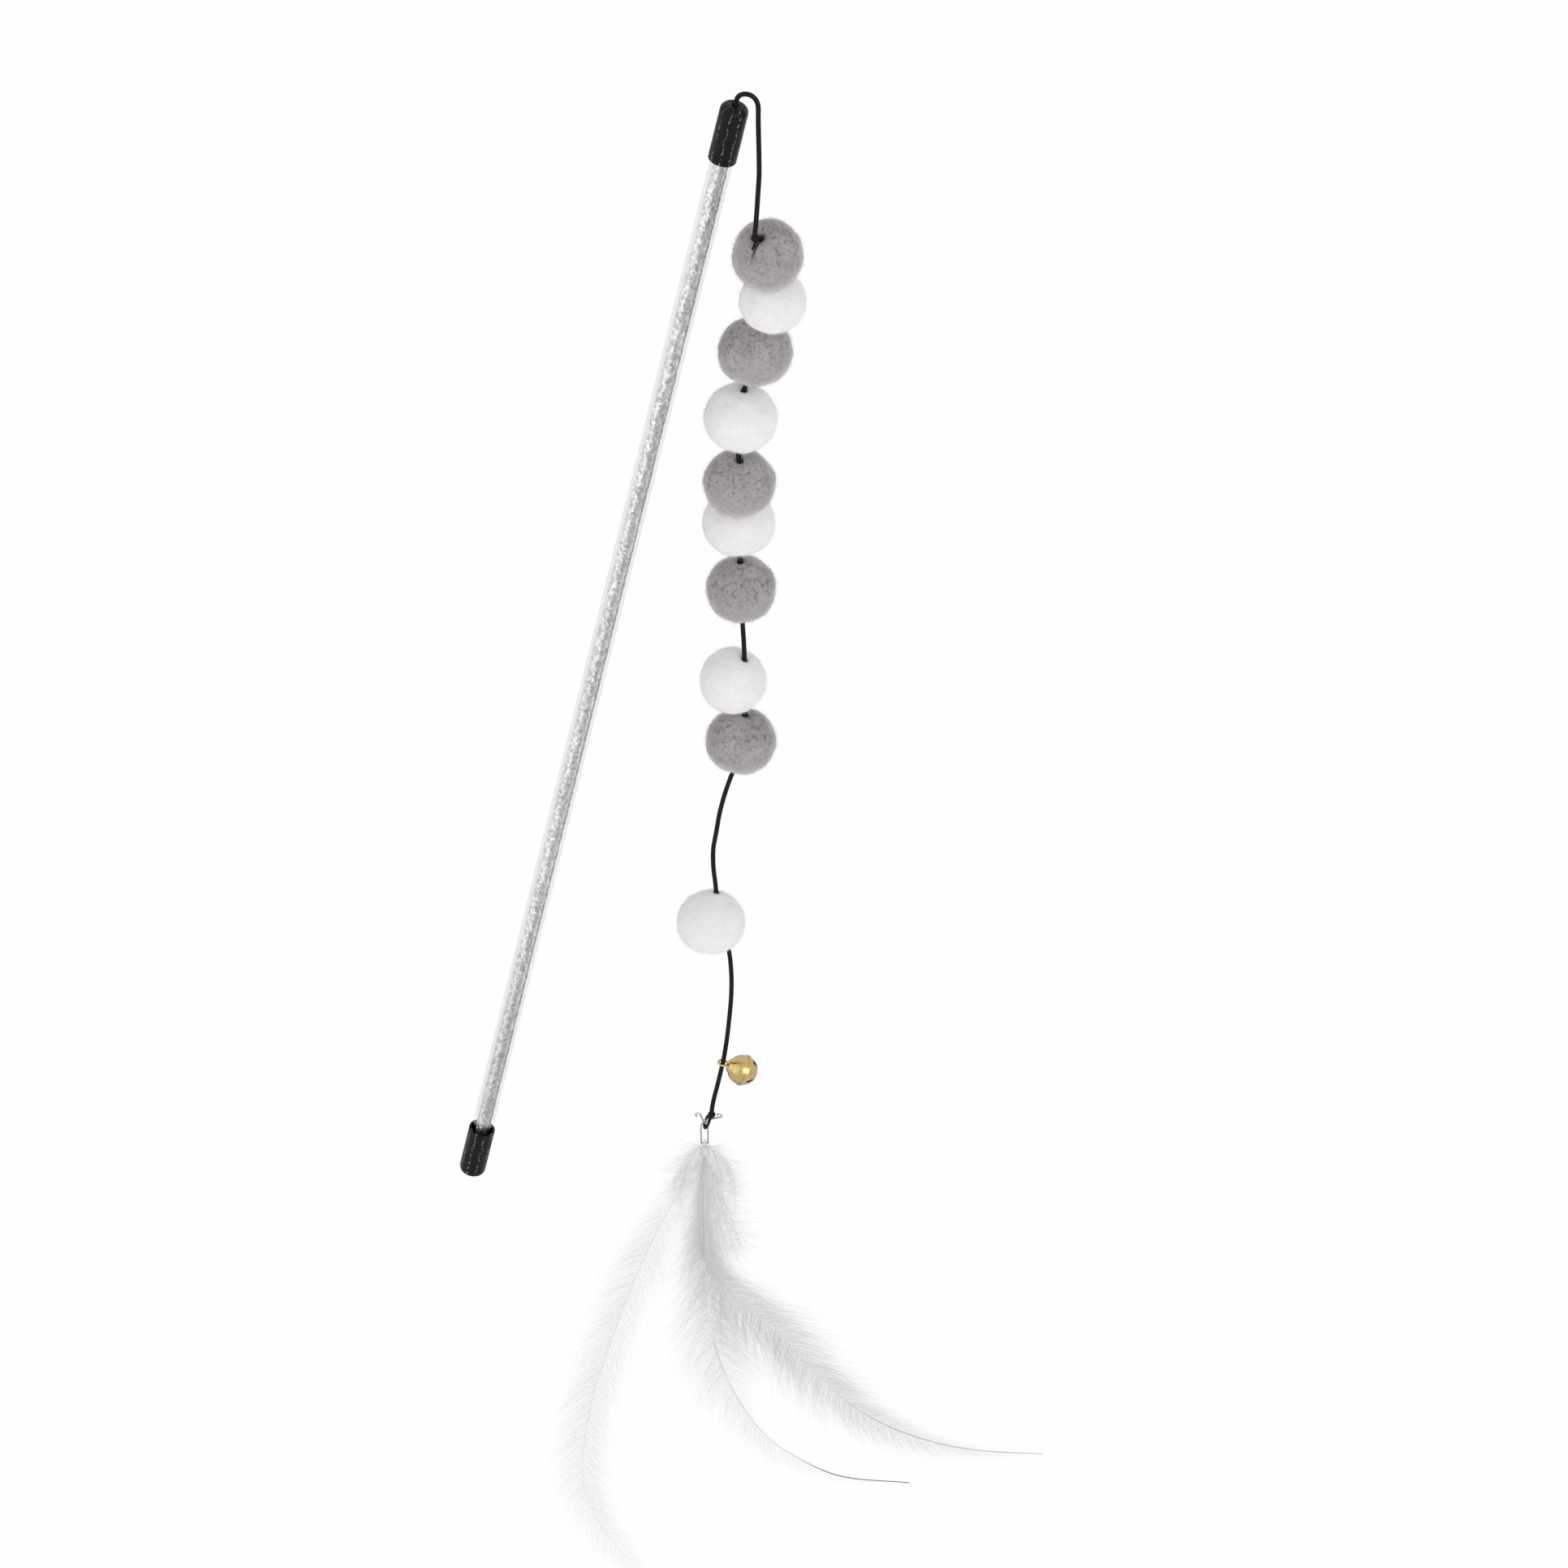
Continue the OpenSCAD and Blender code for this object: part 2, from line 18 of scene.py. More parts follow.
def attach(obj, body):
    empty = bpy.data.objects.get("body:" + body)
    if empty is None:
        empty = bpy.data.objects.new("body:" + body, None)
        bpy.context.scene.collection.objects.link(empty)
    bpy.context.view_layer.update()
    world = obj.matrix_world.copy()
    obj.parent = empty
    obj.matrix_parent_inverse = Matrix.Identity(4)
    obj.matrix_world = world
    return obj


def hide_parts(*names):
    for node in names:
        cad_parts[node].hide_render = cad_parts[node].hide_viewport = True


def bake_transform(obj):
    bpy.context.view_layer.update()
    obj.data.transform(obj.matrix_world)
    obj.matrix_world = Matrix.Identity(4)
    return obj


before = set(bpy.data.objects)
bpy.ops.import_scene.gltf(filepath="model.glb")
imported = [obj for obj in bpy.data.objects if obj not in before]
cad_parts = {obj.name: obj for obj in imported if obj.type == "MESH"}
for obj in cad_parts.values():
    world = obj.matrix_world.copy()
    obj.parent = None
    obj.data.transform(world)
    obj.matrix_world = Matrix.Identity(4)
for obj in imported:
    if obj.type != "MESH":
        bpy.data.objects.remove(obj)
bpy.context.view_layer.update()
MM = 0.001

# %% [markdown]
# ## The camera
# The photograph looks down on the hanging toy from the front, with a long lens. A long lens keeps
# the balls nearly one size from top to bottom. The camera is made first, because the cord is
# measured against what it sees.

# %% Cameras, lamps and pieces as objects
def add_object(name, data):
    obj = bpy.data.objects.new(name, data)
    bpy.context.scene.collection.objects.link(obj)
    return obj


def stand(name, data, at, way):
    """A camera or a lamp at a place, turned to look along a way."""
    obj = add_object(name, data)
    obj.location = at
    obj.rotation_mode = "QUATERNION"
    obj.rotation_quaternion = way.to_track_quat("-Z", "Y")
    return obj


# %% Camera
CAMERA_ELEVATION, CAMERA_DISTANCE, LENS = math.radians(39), 2.0, 156
LOOK_AT = Vector((0.0943, 0, 0.1436))


def make_camera():
    back = Vector((0, -math.cos(CAMERA_ELEVATION), math.sin(CAMERA_ELEVATION)))
    data = bpy.data.cameras.new("photo_camera")
    data.lens = LENS
    camera = stand("photo_camera", data, LOOK_AT + CAMERA_DISTANCE * back, -back)
    bpy.context.scene.camera = camera
    return camera


print("camera at", tuple(round(x, 3) for x in make_camera().location))

# %% [markdown]
# ## The cord's route
# A cord is a fixed length of something limp. It leaves the tip cap, bends over its edge, hangs, and
# runs through a bore in every ball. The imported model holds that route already, so the same tables
# are repeated here, in millimetres times MM. Each ball's bore halves the angle between the cord's
# way in and its way out, and a smooth curve bridges one bore to the next.

# %% Sizes that the route needs
WAND_L, WAND_LEAN, GRIP_AT = 400 * MM, math.radians(12), 10 * MM
CORD_R, RUN_CLEAR = 0.7 * MM, 0.3 * MM
BALL_D, MOUTH_DEPTH = 20 * MM, 2.5 * MM
CAP_L, CAP_R, CAP_END, CAP_ROUND, CAP_BORE_R = 18 * MM, 4 * MM, 3 * MM, 2 * MM, 3.3 * MM
BALL_SIZE_SHARES = [1.015, 0.94, 1, 1.01, 1, 1.02, 1.005, 0.98, 1.015, 0.995]
OFF_BORE_SHARES = [[0, 0]] * 7 + [[0.17, -0.07], [0, 0], [0.14, 0.17]]
BALLS = range(10)


def mm(rows):
    return [np.array(row, float) * MM for row in rows]


def unit(v):
    return v / np.linalg.norm(v)


def side_of(t):
    return unit(np.cross([0, 1, 0], t))


def heading(side, depth):
    side, depth = math.radians(side), math.radians(depth)
    return np.array([math.sin(side) * math.cos(depth), math.sin(depth), -math.cos(side) * math.cos(depth)])


# %% Route tables
TIP_ARC = mm([[0, 0, 0], [0.3, 0, 1.3], [1.1, -0.2, 2.4], [2.3, -0.6, 3], [3.7, -1, 3], [4.9, -1.4, 2.3],
              [5.7, -1.8, 1.1], [6, -2.2, -0.5], [6, -3.2, -4], [6.1, -4.9, -8.5], [6.2, -7, -13.5],
              [6.2, -9.2, -18], [5.9, -11, -22.5], [5.6, -12.4, -27], [5.3, -13.2, -31.3],
              [5.1, -13.6, -35.3]])
FIRST_BALL_AT, LAST_BORE_AT, END_KNOT_AT = mm([[8.5, -8, -45], [-6.5, 3.4, -69.5], [-3.2, 0, -81]])
WAVE = mm([[-3, 0.1, -13.5], [-5, 0.5, -21], [-6.5, 1.1, -28.5], [-7.5, 1.8, -36], [-8.5, 2.5, -43.5],
           [-8.5, 3, -51], [-8, 3.3, -57]])
LOW_RUN = mm([[2.5, 0, -15], [3, 0, -20.5], [3.2, 0, -26.8], [3, 0, -34.2], [2.4, 0, -42.2],
              [1.7, 0, -49.8], [0.7, 0, -57.8], [0, 0, -61.8], [-1.3, 0, -68.8], [-2.4, 0, -74.2],
              [-3, 0, -78]])
# The span between two balls that the bell hangs in, counted from 0. Its bridge needs more points.
BELL_SPAN = 6
LINK_ANGLES = [[4.2, 18.1], [-13.8, 12.1], [-10.5, 0], [-1, 0], [-1, 22.8], [1.5, 0], [1.3, -2.4],
               [-2.7, -1.3]]
LINK_GAP_SHARES = [0.071, 0.1, 0.1665, 0.133, 0.08, 0.2025, 0.6945, 0.0575]
BORE_TURN_SHARES = [[1, 1]] * 4 + [[1, 1.4], [1.4, 1]] + [[1, 1]] * 4

# %% Ball places and the whole route
WAND_UP = np.array([math.sin(WAND_LEAN), 0, math.cos(WAND_LEAN)])
PIVOT = (WAND_L - GRIP_AT + CORD_R + RUN_CLEAR) * WAND_UP
ball_r = [BALL_D / 2 * share for share in BALL_SIZE_SHARES]
bore_mid = [PIVOT + FIRST_BALL_AT]
for k in range(8):
    step = ball_r[k] + ball_r[k + 1] + LINK_GAP_SHARES[k] * BALL_D
    bore_mid.append(bore_mid[k] + step * heading(*LINK_ANGLES[k]))
bore_mid.append(bore_mid[8] + LAST_BORE_AT)
tip_end = PIVOT + TIP_ARC[-1]
links = [bore_mid[k + 1] - bore_mid[k] for k in range(8)]
ways_in = [bore_mid[0] - tip_end] + links + [LAST_BORE_AT - WAVE[-1]]
ways_out = links + [WAVE[0], LOW_RUN[0]]
bore_dir = [unit(w[0] * unit(a) + w[1] * unit(b)) for w, a, b in zip(BORE_TURN_SHARES, ways_in, ways_out)]
ball_mid = [m - BALL_D * (off[0] * side_of(-d) + off[1] * np.array([0, 1, 0]))
            for m, off, d in zip(bore_mid, OFF_BORE_SHARES, bore_dir)]
bore_in = [bore_mid[k] - (ball_r[k] - MOUTH_DEPTH) * bore_dir[k] for k in BALLS]
bore_out = [bore_mid[k] + (ball_r[k] - MOUTH_DEPTH) * bore_dir[k] for k in BALLS]


def bridge(p, v, q, w, count):
    reach = np.linalg.norm(q - p)
    points = []
    for i in range(1, count + 1):
        t = i / (count + 1)
        points.append((2 * t**3 - 3 * t**2 + 1) * p + (t**3 - 2 * t**2 + t) * reach * v
                      + (3 * t**2 - 2 * t**3) * q + (t**3 - t**2) * reach * w)
    return points


def cord_route():
    points = [PIVOT + p for p in TIP_ARC]
    for k in range(9):
        points += [bore_in[k], bore_out[k]]
        if k < 8:
            count = 4 if k == BELL_SPAN else 2
            points += bridge(bore_out[k], bore_dir[k], bore_in[k + 1], bore_dir[k + 1], count)
    points += [bore_mid[8] + p for p in WAVE] + [bore_in[9], bore_out[9]]
    return points + [bore_mid[9] + p for p in LOW_RUN] + [bore_mid[9] + END_KNOT_AT]


route = cord_route()

# %% [markdown]
# ## Mesh helpers
# Two kinds of surface make most of this toy. A tube follows a path, as cord, wire and quills do. A
# turned shape goes round an axis, as caps and bell shells do. Both helpers lay out a UV map whose
# steps are equal in both directions, so that a weave or grain on it isn't stretched.


# %% Plain mesh objects
def mesh_object(name, vertices, faces, uvs=None, smooth=True):
    mesh = bpy.data.meshes.new(name)
    mesh.from_pydata([tuple(v) for v in vertices], [], faces)
    if uvs is not None:
        layer = mesh.uv_layers.new(name="UVMap")
        layer.data.foreach_set("uv", np.array(uvs, np.float32).ravel())
    mesh.polygons.foreach_set("use_smooth", [smooth] * len(mesh.polygons))
    mesh.update()
    return add_object(name, mesh)


# %% Rings into a surface
# Where the closing faces' ring lies on the UV map.
END_UV_MID, END_UV_R = 0.5, 0.1


def ring_surface(name, rings, lengths, width, closed):
    """Rings of points become one surface. lengths are the distances along it, width is one ring's length."""
    count, sides = len(rings), len(rings[0])
    faces, uvs = [], []
    for i in range(count if closed else count - 1):
        j = (i + 1) % count
        v0, v1 = lengths[i] / width, lengths[i + 1] / width
        for k in range(sides):
            m = (k + 1) % sides
            faces.append((i * sides + k, i * sides + m, j * sides + m, j * sides + k))
            uvs += [(k / sides, v0), ((k + 1) / sides, v0), ((k + 1) / sides, v1), (k / sides, v1)]
    if not closed:
        angles = [2 * math.pi * k / sides for k in range(sides)]
        for first, ring in ((0, range(sides - 1, -1, -1)), ((count - 1) * sides, range(sides))):
            faces.append(tuple(first + k for k in ring))
            uvs += [(END_UV_MID + END_UV_R * math.cos(a), END_UV_R * math.sin(a)) for a in angles]
    return mesh_object(name, [p for ring in rings for p in ring], faces, uvs)


# %% A smooth line through points
def smooth_line(points, steps):
    """A Catmull-Rom line through the points, with so many steps between each two."""
    p = [2 * points[0] - points[1]] + list(points) + [2 * points[-1] - points[-2]]
    line = []
    for i in range(1, len(p) - 2):
        for s in range(steps):
            t = s / steps
            line.append(0.5 * (2 * p[i] + (p[i + 1] - p[i - 1]) * t
                               + (2 * p[i - 1] - 5 * p[i] + 4 * p[i + 1] - p[i + 2]) * t**2
                               + (3 * p[i] - p[i - 1] - 3 * p[i + 1] + p[i + 2]) * t**3))
    line.append(np.array(points[-1], float))
    return line


# %% A ring of points
def ring_of(mid, r, x, y, sides):
    """Points round a middle, from the direction x towards the direction y."""
    angles = [2 * math.pi * k / sides for k in range(sides)]
    return [mid + r * (math.cos(a) * x + math.sin(a) * y) for a in angles]


# %% A tube along a line
# The added rings of a rounded end: how far out each lies and how wide it is, as shares of the radius.
ROUNDED_END = [(0.6, 0.8), (0.9, 0.35)]


def tube(name, line, radius, sides, closed=False, rounded=False):
    """A round tube whose rings turn with the line and don't twist."""
    line = [np.array(p, float) for p in line]
    radii = [radius] * len(line)
    if rounded:
        first, last = line[0], line[-1]
        lead, tail = unit(first - line[1]), unit(last - line[-2])
        for out, share in ROUNDED_END:
            line = [first + out * radius * lead] + line + [last + out * radius * tail]
            radii = [share * radius] + radii + [share * radius]
    count = len(line)
    if closed:
        ways = [unit(line[(i + 1) % count] - line[i - 1]) for i in range(count)]
    else:
        ways = [unit(line[min(i + 1, count - 1)] - line[max(i - 1, 0)]) for i in range(count)]
    across = unit(np.cross(ways[0], [0.3, 0.9, 0.2]))  # a direction that no line here starts in
    rings = []
    for p, way, r in zip(line, ways, radii):
        across = unit(across - (across @ way) * way)
        rings.append(ring_of(p, r, across, np.cross(way, across), sides))
    lengths = [0.0]
    for i in range(count if closed else count - 1):
        lengths.append(lengths[-1] + float(np.linalg.norm(line[(i + 1) % count] - line[i])))
    return ring_surface(name, rings, lengths, 2 * math.pi * radius, closed)


# %% A turned shape
TURNED_SIDES = 96


def turned(name, profile, at, up, closed=False):
    """The profile's points are (distance from the axis, height). It runs upwards on the outside."""
    x = unit(np.cross([0, 1, 0], up))
    y = np.cross(up, x)
    rings = [ring_of(at + h * up, r, x, y, TURNED_SIDES) for r, h in profile]
    lengths = [0.0]
    for (r0, h0), (r1, h1) in zip(profile, profile[1:] + profile[:1]):
        lengths.append(lengths[-1] + math.hypot(r1 - r0, h1 - h0))
    return ring_surface(name, rings, lengths, 2 * math.pi * max(r for r, h in profile), closed)


# %% [markdown]
# ## Node helpers
# Both shader trees and geometry trees are made of nodes and links. One small function adds a node
# and fills its inputs: a socket is linked, and anything else is set as its value. The others name
# the few nodes that most finishes use.


# %% Adding a node
def put(tree, kind, inputs=None, **settings):
    node = tree.nodes.new(kind)
    for key, value in settings.items():
        setattr(node, key, value)
    for key, value in (inputs or {}).items():
        if isinstance(value, bpy.types.NodeSocket):
            tree.links.new(value, node.inputs[key])
        else:
            node.inputs[key].default_value = value
    return node


def srgb(r, g, b):
    """A colour as a screen shows it, 0 to 255, as the linear values that Blender works in."""
    linear = [c / 255 / 12.92 if c <= 10 else ((c / 255 + 0.055) / 1.055) ** 2.4 for c in (r, g, b)]
    return (*linear, 1.0)


# %% Nodes that most finishes use
def ranged(tree, value, start, end, low=0.0, high=1.0):
    """low where the value is start or less, high where it is end or more, and even steps between."""
    return put(tree, "ShaderNodeMapRange", {"Value": value, "From Min": start, "From Max": end,
                                            "To Min": low, "To Max": high}).outputs[0]


def maths(tree, operation, a, b):
    return put(tree, "ShaderNodeMath", {0: a, 1: b}, operation=operation).outputs[0]


def vector_maths(tree, operation, **inputs):
    named = {"a": 0, "b": 1, "c": 2, "scale": "Scale"}
    return put(tree, "ShaderNodeVectorMath", {named[label]: value for label, value in inputs.items()},
               operation=operation).outputs[0]


def colour_mix(tree, share, first, second):
    """The first colour, turned into the second by the share."""
    return put(tree, "ShaderNodeMix", {0: share, 6: first, 7: second}, data_type="RGBA").outputs[2]


def cloud(tree, vector, scale, detail, **more):
    """Soft noise. Output 0 is its height, and Color holds three heights at once."""
    inputs = {"Vector": vector, "Scale": scale, "Detail": detail, **more}
    return put(tree, "ShaderNodeTexNoise", inputs).outputs


def object_place(tree):
    return put(tree, "ShaderNodeTexCoord").outputs["Object"]


def facing_away(tree, blend):
    """0 where a surface faces the eye, and 1 at its edge."""
    return put(tree, "ShaderNodeLayerWeight", {"Blend": blend}).outputs["Facing"]


# %% Node groups for effects that several finishes share
def new_group(name, kind, inputs, outputs):
    group = bpy.data.node_groups.new(name, kind)
    for way, sockets in (("INPUT", inputs), ("OUTPUT", outputs)):
        for label, socket_type in sockets:
            group.interface.new_socket(label, in_out=way, socket_type="NodeSocket" + socket_type)
    return group, put(group, "NodeGroupInput").outputs, put(group, "NodeGroupOutput")


def connect(group, out, **sockets):
    for label, socket in sockets.items():
        group.links.new(socket, out.inputs[label])


# %% [markdown]
# ## Two shared surface effects
# Fine grain is the small unevenness that every real surface has. It gives a height for bump and a
# roughness that changes a little from place to place. Fibre flecks are the cloudy mix of darker
# and paler fibres in felt, cord and feather, at a size that each finish chooses.


# %% Fine grain
def make_grain():
    group, given, out = new_group("Fine grain", "ShaderNodeTree",
                                  [("Vector", "Vector"), ("Scale", "Float"), ("Low", "Float"),
                                   ("High", "Float")],
                                  [("Height", "Float"), ("Roughness", "Float")])
    fine = cloud(group, given["Vector"], given["Scale"], 4)[0]
    wide = cloud(group, given["Vector"], maths(group, "MULTIPLY", given["Scale"], 0.08), 3)[0]
    connect(group, out, Height=fine, Roughness=ranged(group, wide, 0.3, 0.7, given["Low"], given["High"]))
    return group


GRAIN = make_grain()


# %% Fibre flecks
def make_flecks():
    group, given, out = new_group("Fibre flecks", "ShaderNodeTree",
                                  [("Vector", "Vector"), ("Scale", "Float"), ("Base", "Color"),
                                   ("Dark", "Color"), ("Pale", "Color")],
                                  [("Color", "Color"), ("Height", "Float")])
    fine = cloud(group, given["Vector"], given["Scale"], 5, Roughness=0.65, Distortion=1.8)[0]
    wide = cloud(group, given["Vector"], maths(group, "MULTIPLY", given["Scale"], 0.22), 3)[0]
    paled = colour_mix(group, ranged(group, wide, 0.45, 0.7), given["Base"], given["Pale"])
    darkened = colour_mix(group, ranged(group, fine, 0.52, 0.68), paled, given["Dark"])
    connect(group, out, Height=fine, Color=darkened)
    return group


FLECKS = make_flecks()
print("shader groups:", GRAIN.name, "and", FLECKS.name)


# %% Starting and closing a finish
def finish_of(name, **values):
    """A material whose plain values are set on the shader's own sockets."""
    made = bpy.data.materials.new(name)
    made.use_nodes = True
    shader = made.node_tree.nodes["Principled BSDF"]
    for label, value in values.items():
        shader.inputs[label.replace("_", " ")].default_value = value
    return made, made.node_tree, shader


def grain_of(tree, scale, low, high):
    return put(tree, "ShaderNodeGroup", {"Vector": object_place(tree), "Scale": scale, "Low": low,
                                         "High": high}, node_tree=GRAIN).outputs


def flecks_of(tree, scale, base, dark, pale):
    return put(tree, "ShaderNodeGroup", {"Vector": object_place(tree), "Scale": scale, "Base": base,
                                         "Dark": dark, "Pale": pale}, node_tree=FLECKS).outputs


def link_surface(tree, shader, height, depth, strength, **sockets):
    """Links sockets to the shader's inputs of those names, and a height as bump."""
    raised = put(tree, "ShaderNodeBump", {"Height": height, "Distance": depth, "Strength": strength})
    tree.links.new(raised.outputs[0], shader.inputs["Normal"])
    for label, socket in sockets.items():
        tree.links.new(socket, shader.inputs[label.replace("_", " ")])


# %% [markdown]
# ## Rubber and clear plastic
# The caps are moulded black rubber with a dull sheen. Painted highlights lie on them in broken,
# wandering rows along their length, which a wave on the UV map gives. The rod's wall is clear
# plastic. Real refraction would be slow and noisy round the film, and the wall is thin, so the
# plastic is mostly see-through where it faces the eye and turns paler and denser towards its edges.
# In the handle cap's mouth it stands in the dark and is left out.

# %% Rubber
# Rows of painted highlight on the rubber: how many, how far they wander, how their dots are drawn out, and
# their pale tone.
HIGHLIGHT_ROWS, HIGHLIGHT_WANDER, HIGHLIGHT_DRAWN, PAINTED_HIGHLIGHT_TONE = 2.9, 0.05, (30.0, 24.0, 1.0), srgb(118, 112, 110)


def make_rubber():
    made, tree, shader = finish_of("black_rubber", Specular_IOR_Level=0.12)
    grain = grain_of(tree, 2600.0, 0.34, 0.52)
    flecks = flecks_of(tree, 1500.0, srgb(18, 18, 18), srgb(13, 13, 13), srgb(23, 22, 22))
    flat = put(tree, "ShaderNodeTexCoord").outputs["UV"]
    bent = vector_maths(tree, "SCALE", a=cloud(tree, flat, 9.0, 2)["Color"], scale=HIGHLIGHT_WANDER)
    uv = vector_maths(tree, "ADD", a=flat, b=bent)
    rows = put(tree, "ShaderNodeTexWave", {"Vector": uv, "Scale": HIGHLIGHT_ROWS},
               bands_direction="X").outputs["Fac"]
    drawn = put(tree, "ShaderNodeMapping", {"Vector": uv, "Scale": HIGHLIGHT_DRAWN}).outputs[0]
    highlight_dots = ranged(tree, cloud(tree, drawn, 1.0, 2)[0], 0.46, 0.6)
    # Painted highlight: broken rows of pale dots along the rubber.
    painted_highlight = maths(tree, "MULTIPLY", ranged(tree, rows, 0.86, 0.97), highlight_dots)
    link_surface(tree, shader, grain["Height"], 0.06 * MM, 0.5, Roughness=grain["Roughness"],
                 Base_Color=colour_mix(tree, painted_highlight, flecks["Color"], PAINTED_HIGHLIGHT_TONE))
    return made


# %% Along the rod
# How far over the handle cap's rim the dark of its mouth starts to fade, and where it has gone.
MOUTH_DARK = (2.2 * MM, 3.4 * MM)


def along_rod(tree):
    """Object coordinates turned upright with the rod: X runs across it and Z along it, from the grip."""
    return put(tree, "ShaderNodeMapping", {"Vector": object_place(tree),
                                           "Rotation": (0.0, -WAND_LEAN, 0.0)}).outputs[0]


def parts_of(tree, vector):
    return put(tree, "ShaderNodeSeparateXYZ", {"Vector": vector}).outputs


def out_of_mouth(tree, height, low):
    """low inside the handle cap's mouth, and 1 where the rod has left it."""
    mouth = CAP_L - GRIP_AT
    return ranged(tree, height, mouth + MOUTH_DARK[0], mouth + MOUTH_DARK[1], low, 1.0)


# %% Clear plastic
def make_plastic():
    made, tree, shader = finish_of("clear_plastic", Base_Color=srgb(236, 236, 237), Roughness=0.06, IOR=1.49)
    grain = grain_of(tree, 700.0, 0.04, 0.12)
    see = ranged(tree, facing_away(tree, 0.35), 0.0, 1.0, 0.05, 0.48)
    outside = out_of_mouth(tree, parts_of(tree, along_rod(tree))["Z"], 0.0)
    link_surface(tree, shader, grain["Height"], 0.05 * MM, 0.2, Roughness=grain["Roughness"],
                 Alpha=maths(tree, "MULTIPLY", see, outside))
    return made


RUBBER, PLASTIC = make_rubber(), make_plastic()

# %% [markdown]
# ## Silver film
# The film is thin crinkled foil that glitters in small flat facets. The facets are real geometry
# with flat shading. A cell pattern, drawn out along the rod, gives each patch its own brightness as
# a painted reflection, because each facet mirrors another part of a room that this scene doesn't
# have. Darker and lighter bands along the rod, laid across it from one edge to the other, are
# painted reflection and shade. The film is painted darker near the grip, and darker still with
# painted shade in the handle cap's mouth.

# %% Silver film
FILM_R = 2.27 * MM
# Places across the film, from its left edge to its right, and the tone of the painted reflection and shade at
# each.
PAINTED_FILM_BANDS = [(0.0, 226), (0.1, 219), (0.28, 246), (0.4, 209), (0.5, 171), (0.6, 163), (0.7, 182),
              (0.85, 216), (1.0, 234)]
BAND_WANDER, SPARKLE = 0.11, (0.52, 1.48)
GRIP_SHADE, GRIP_SHADE_L, CAP_SHADE = 0.68, 90 * MM, 0.65


def make_film():
    made, tree, shader = finish_of("silver_film", Metallic=0.85)
    upright = along_rod(tree)
    parts = parts_of(tree, upright)
    drawn = put(tree, "ShaderNodeMapping", {"Vector": upright, "Scale": (1.0, 1.0, 0.7)}).outputs[0]
    cells = put(tree, "ShaderNodeTexVoronoi", {"Vector": drawn, "Scale": 1500.0}).outputs["Color"]
    wander = ranged(tree, cloud(tree, drawn, 700.0, 2)[0], 0.3, 0.7, -BAND_WANDER, BAND_WANDER)
    across = ranged(tree, parts["X"], -FILM_R, FILM_R)
    # Painted reflection and shade: tone bands across the rod, from one edge to the other.
    painted_bands = put(tree, "ShaderNodeValToRGB", {"Fac": maths(tree, "ADD", across, wander)})
    for share, tone in PAINTED_FILM_BANDS[1:-1]:
        painted_bands.color_ramp.elements.new(share)
    for element, (share, tone) in zip(painted_bands.color_ramp.elements, PAINTED_FILM_BANDS):
        element.position, element.color = share, srgb(tone, tone - 2, tone - 1)
    lit = maths(tree, "MULTIPLY", ranged(tree, parts["Z"], 0.0, GRIP_SHADE_L, GRIP_SHADE, 1.0),
                out_of_mouth(tree, parts["Z"], CAP_SHADE))
    bright = maths(tree, "MULTIPLY", ranged(tree, cells, 0.15, 0.85, *SPARKLE), lit)
    grain = grain_of(tree, 1800.0, 0.18, 0.4)
    link_surface(tree, shader, grain["Height"], 0.1 * MM, 0.4, Roughness=grain["Roughness"],
                 Base_Color=vector_maths(tree, "SCALE", a=painted_bands.outputs[0], scale=bright))
    return made


FILM = make_film()

# %% [markdown]
# ## Woven elastic
# Elastic cord is rubber strands in a woven black sleeve. The sleeve's yarns cross on
# two slants. Two waves on the tube's own UV map make that crossing, and they stay in place on the
# cord however it bends.

# %% Woven elastic
YARNS, YARN_WAVE = 8.0, 0.3183


def make_elastic():
    made, tree, shader = finish_of("black_elastic", Specular_IOR_Level=0.12)
    uv = put(tree, "ShaderNodeTexCoord").outputs["UV"]
    yarns = []
    for slant in (1, -1):
        slanted = put(tree, "ShaderNodeMapping", {"Vector": uv, "Scale": (YARNS, YARNS * slant, 1.0)})
        wave = put(tree, "ShaderNodeTexWave", {"Vector": slanted.outputs[0], "Scale": YARN_WAVE},
                   wave_type="BANDS", bands_direction="DIAGONAL")
        yarns.append(wave.outputs["Fac"])
    weave = maths(tree, "MAXIMUM", *yarns)
    grain = grain_of(tree, 4000.0, 0.5, 0.75)
    link_surface(tree, shader, weave, 0.08 * MM, 0.6, Roughness=grain["Roughness"],
                 Base_Color=colour_mix(tree, weave, srgb(11, 11, 11), srgb(27, 26, 26)))
    return made


ELASTIC = make_elastic()

# %% [markdown]
# ## Felt
# The balls are rolled wool felt, grey and white in turn. Felt scatters light from thousands of
# fibres, so it has no shine. Its edge looks paler because fibres stand out there: the shader's sheen
# and a painted sheen, a pale rim laid on where the surface turns away from the eye, give that. Two
# attributes are painted on each ball's mesh. The first is painted shade that darkens the mouths, the
# bore and the slit. Upper is the height on the ball: painted shade puts most of the dark strokes of
# matted fibre on the upper half, and painted light makes the lower half paler.

# %% Felt
FELT_FLECKS, STROKE_SCALE = 700.0, 760.0
# Between which heights on the ball the painted paler lower half turns into the painted darker top.
TOP_SHADE_FROM, TOP_SHADE_TO = 0.3, 0.75


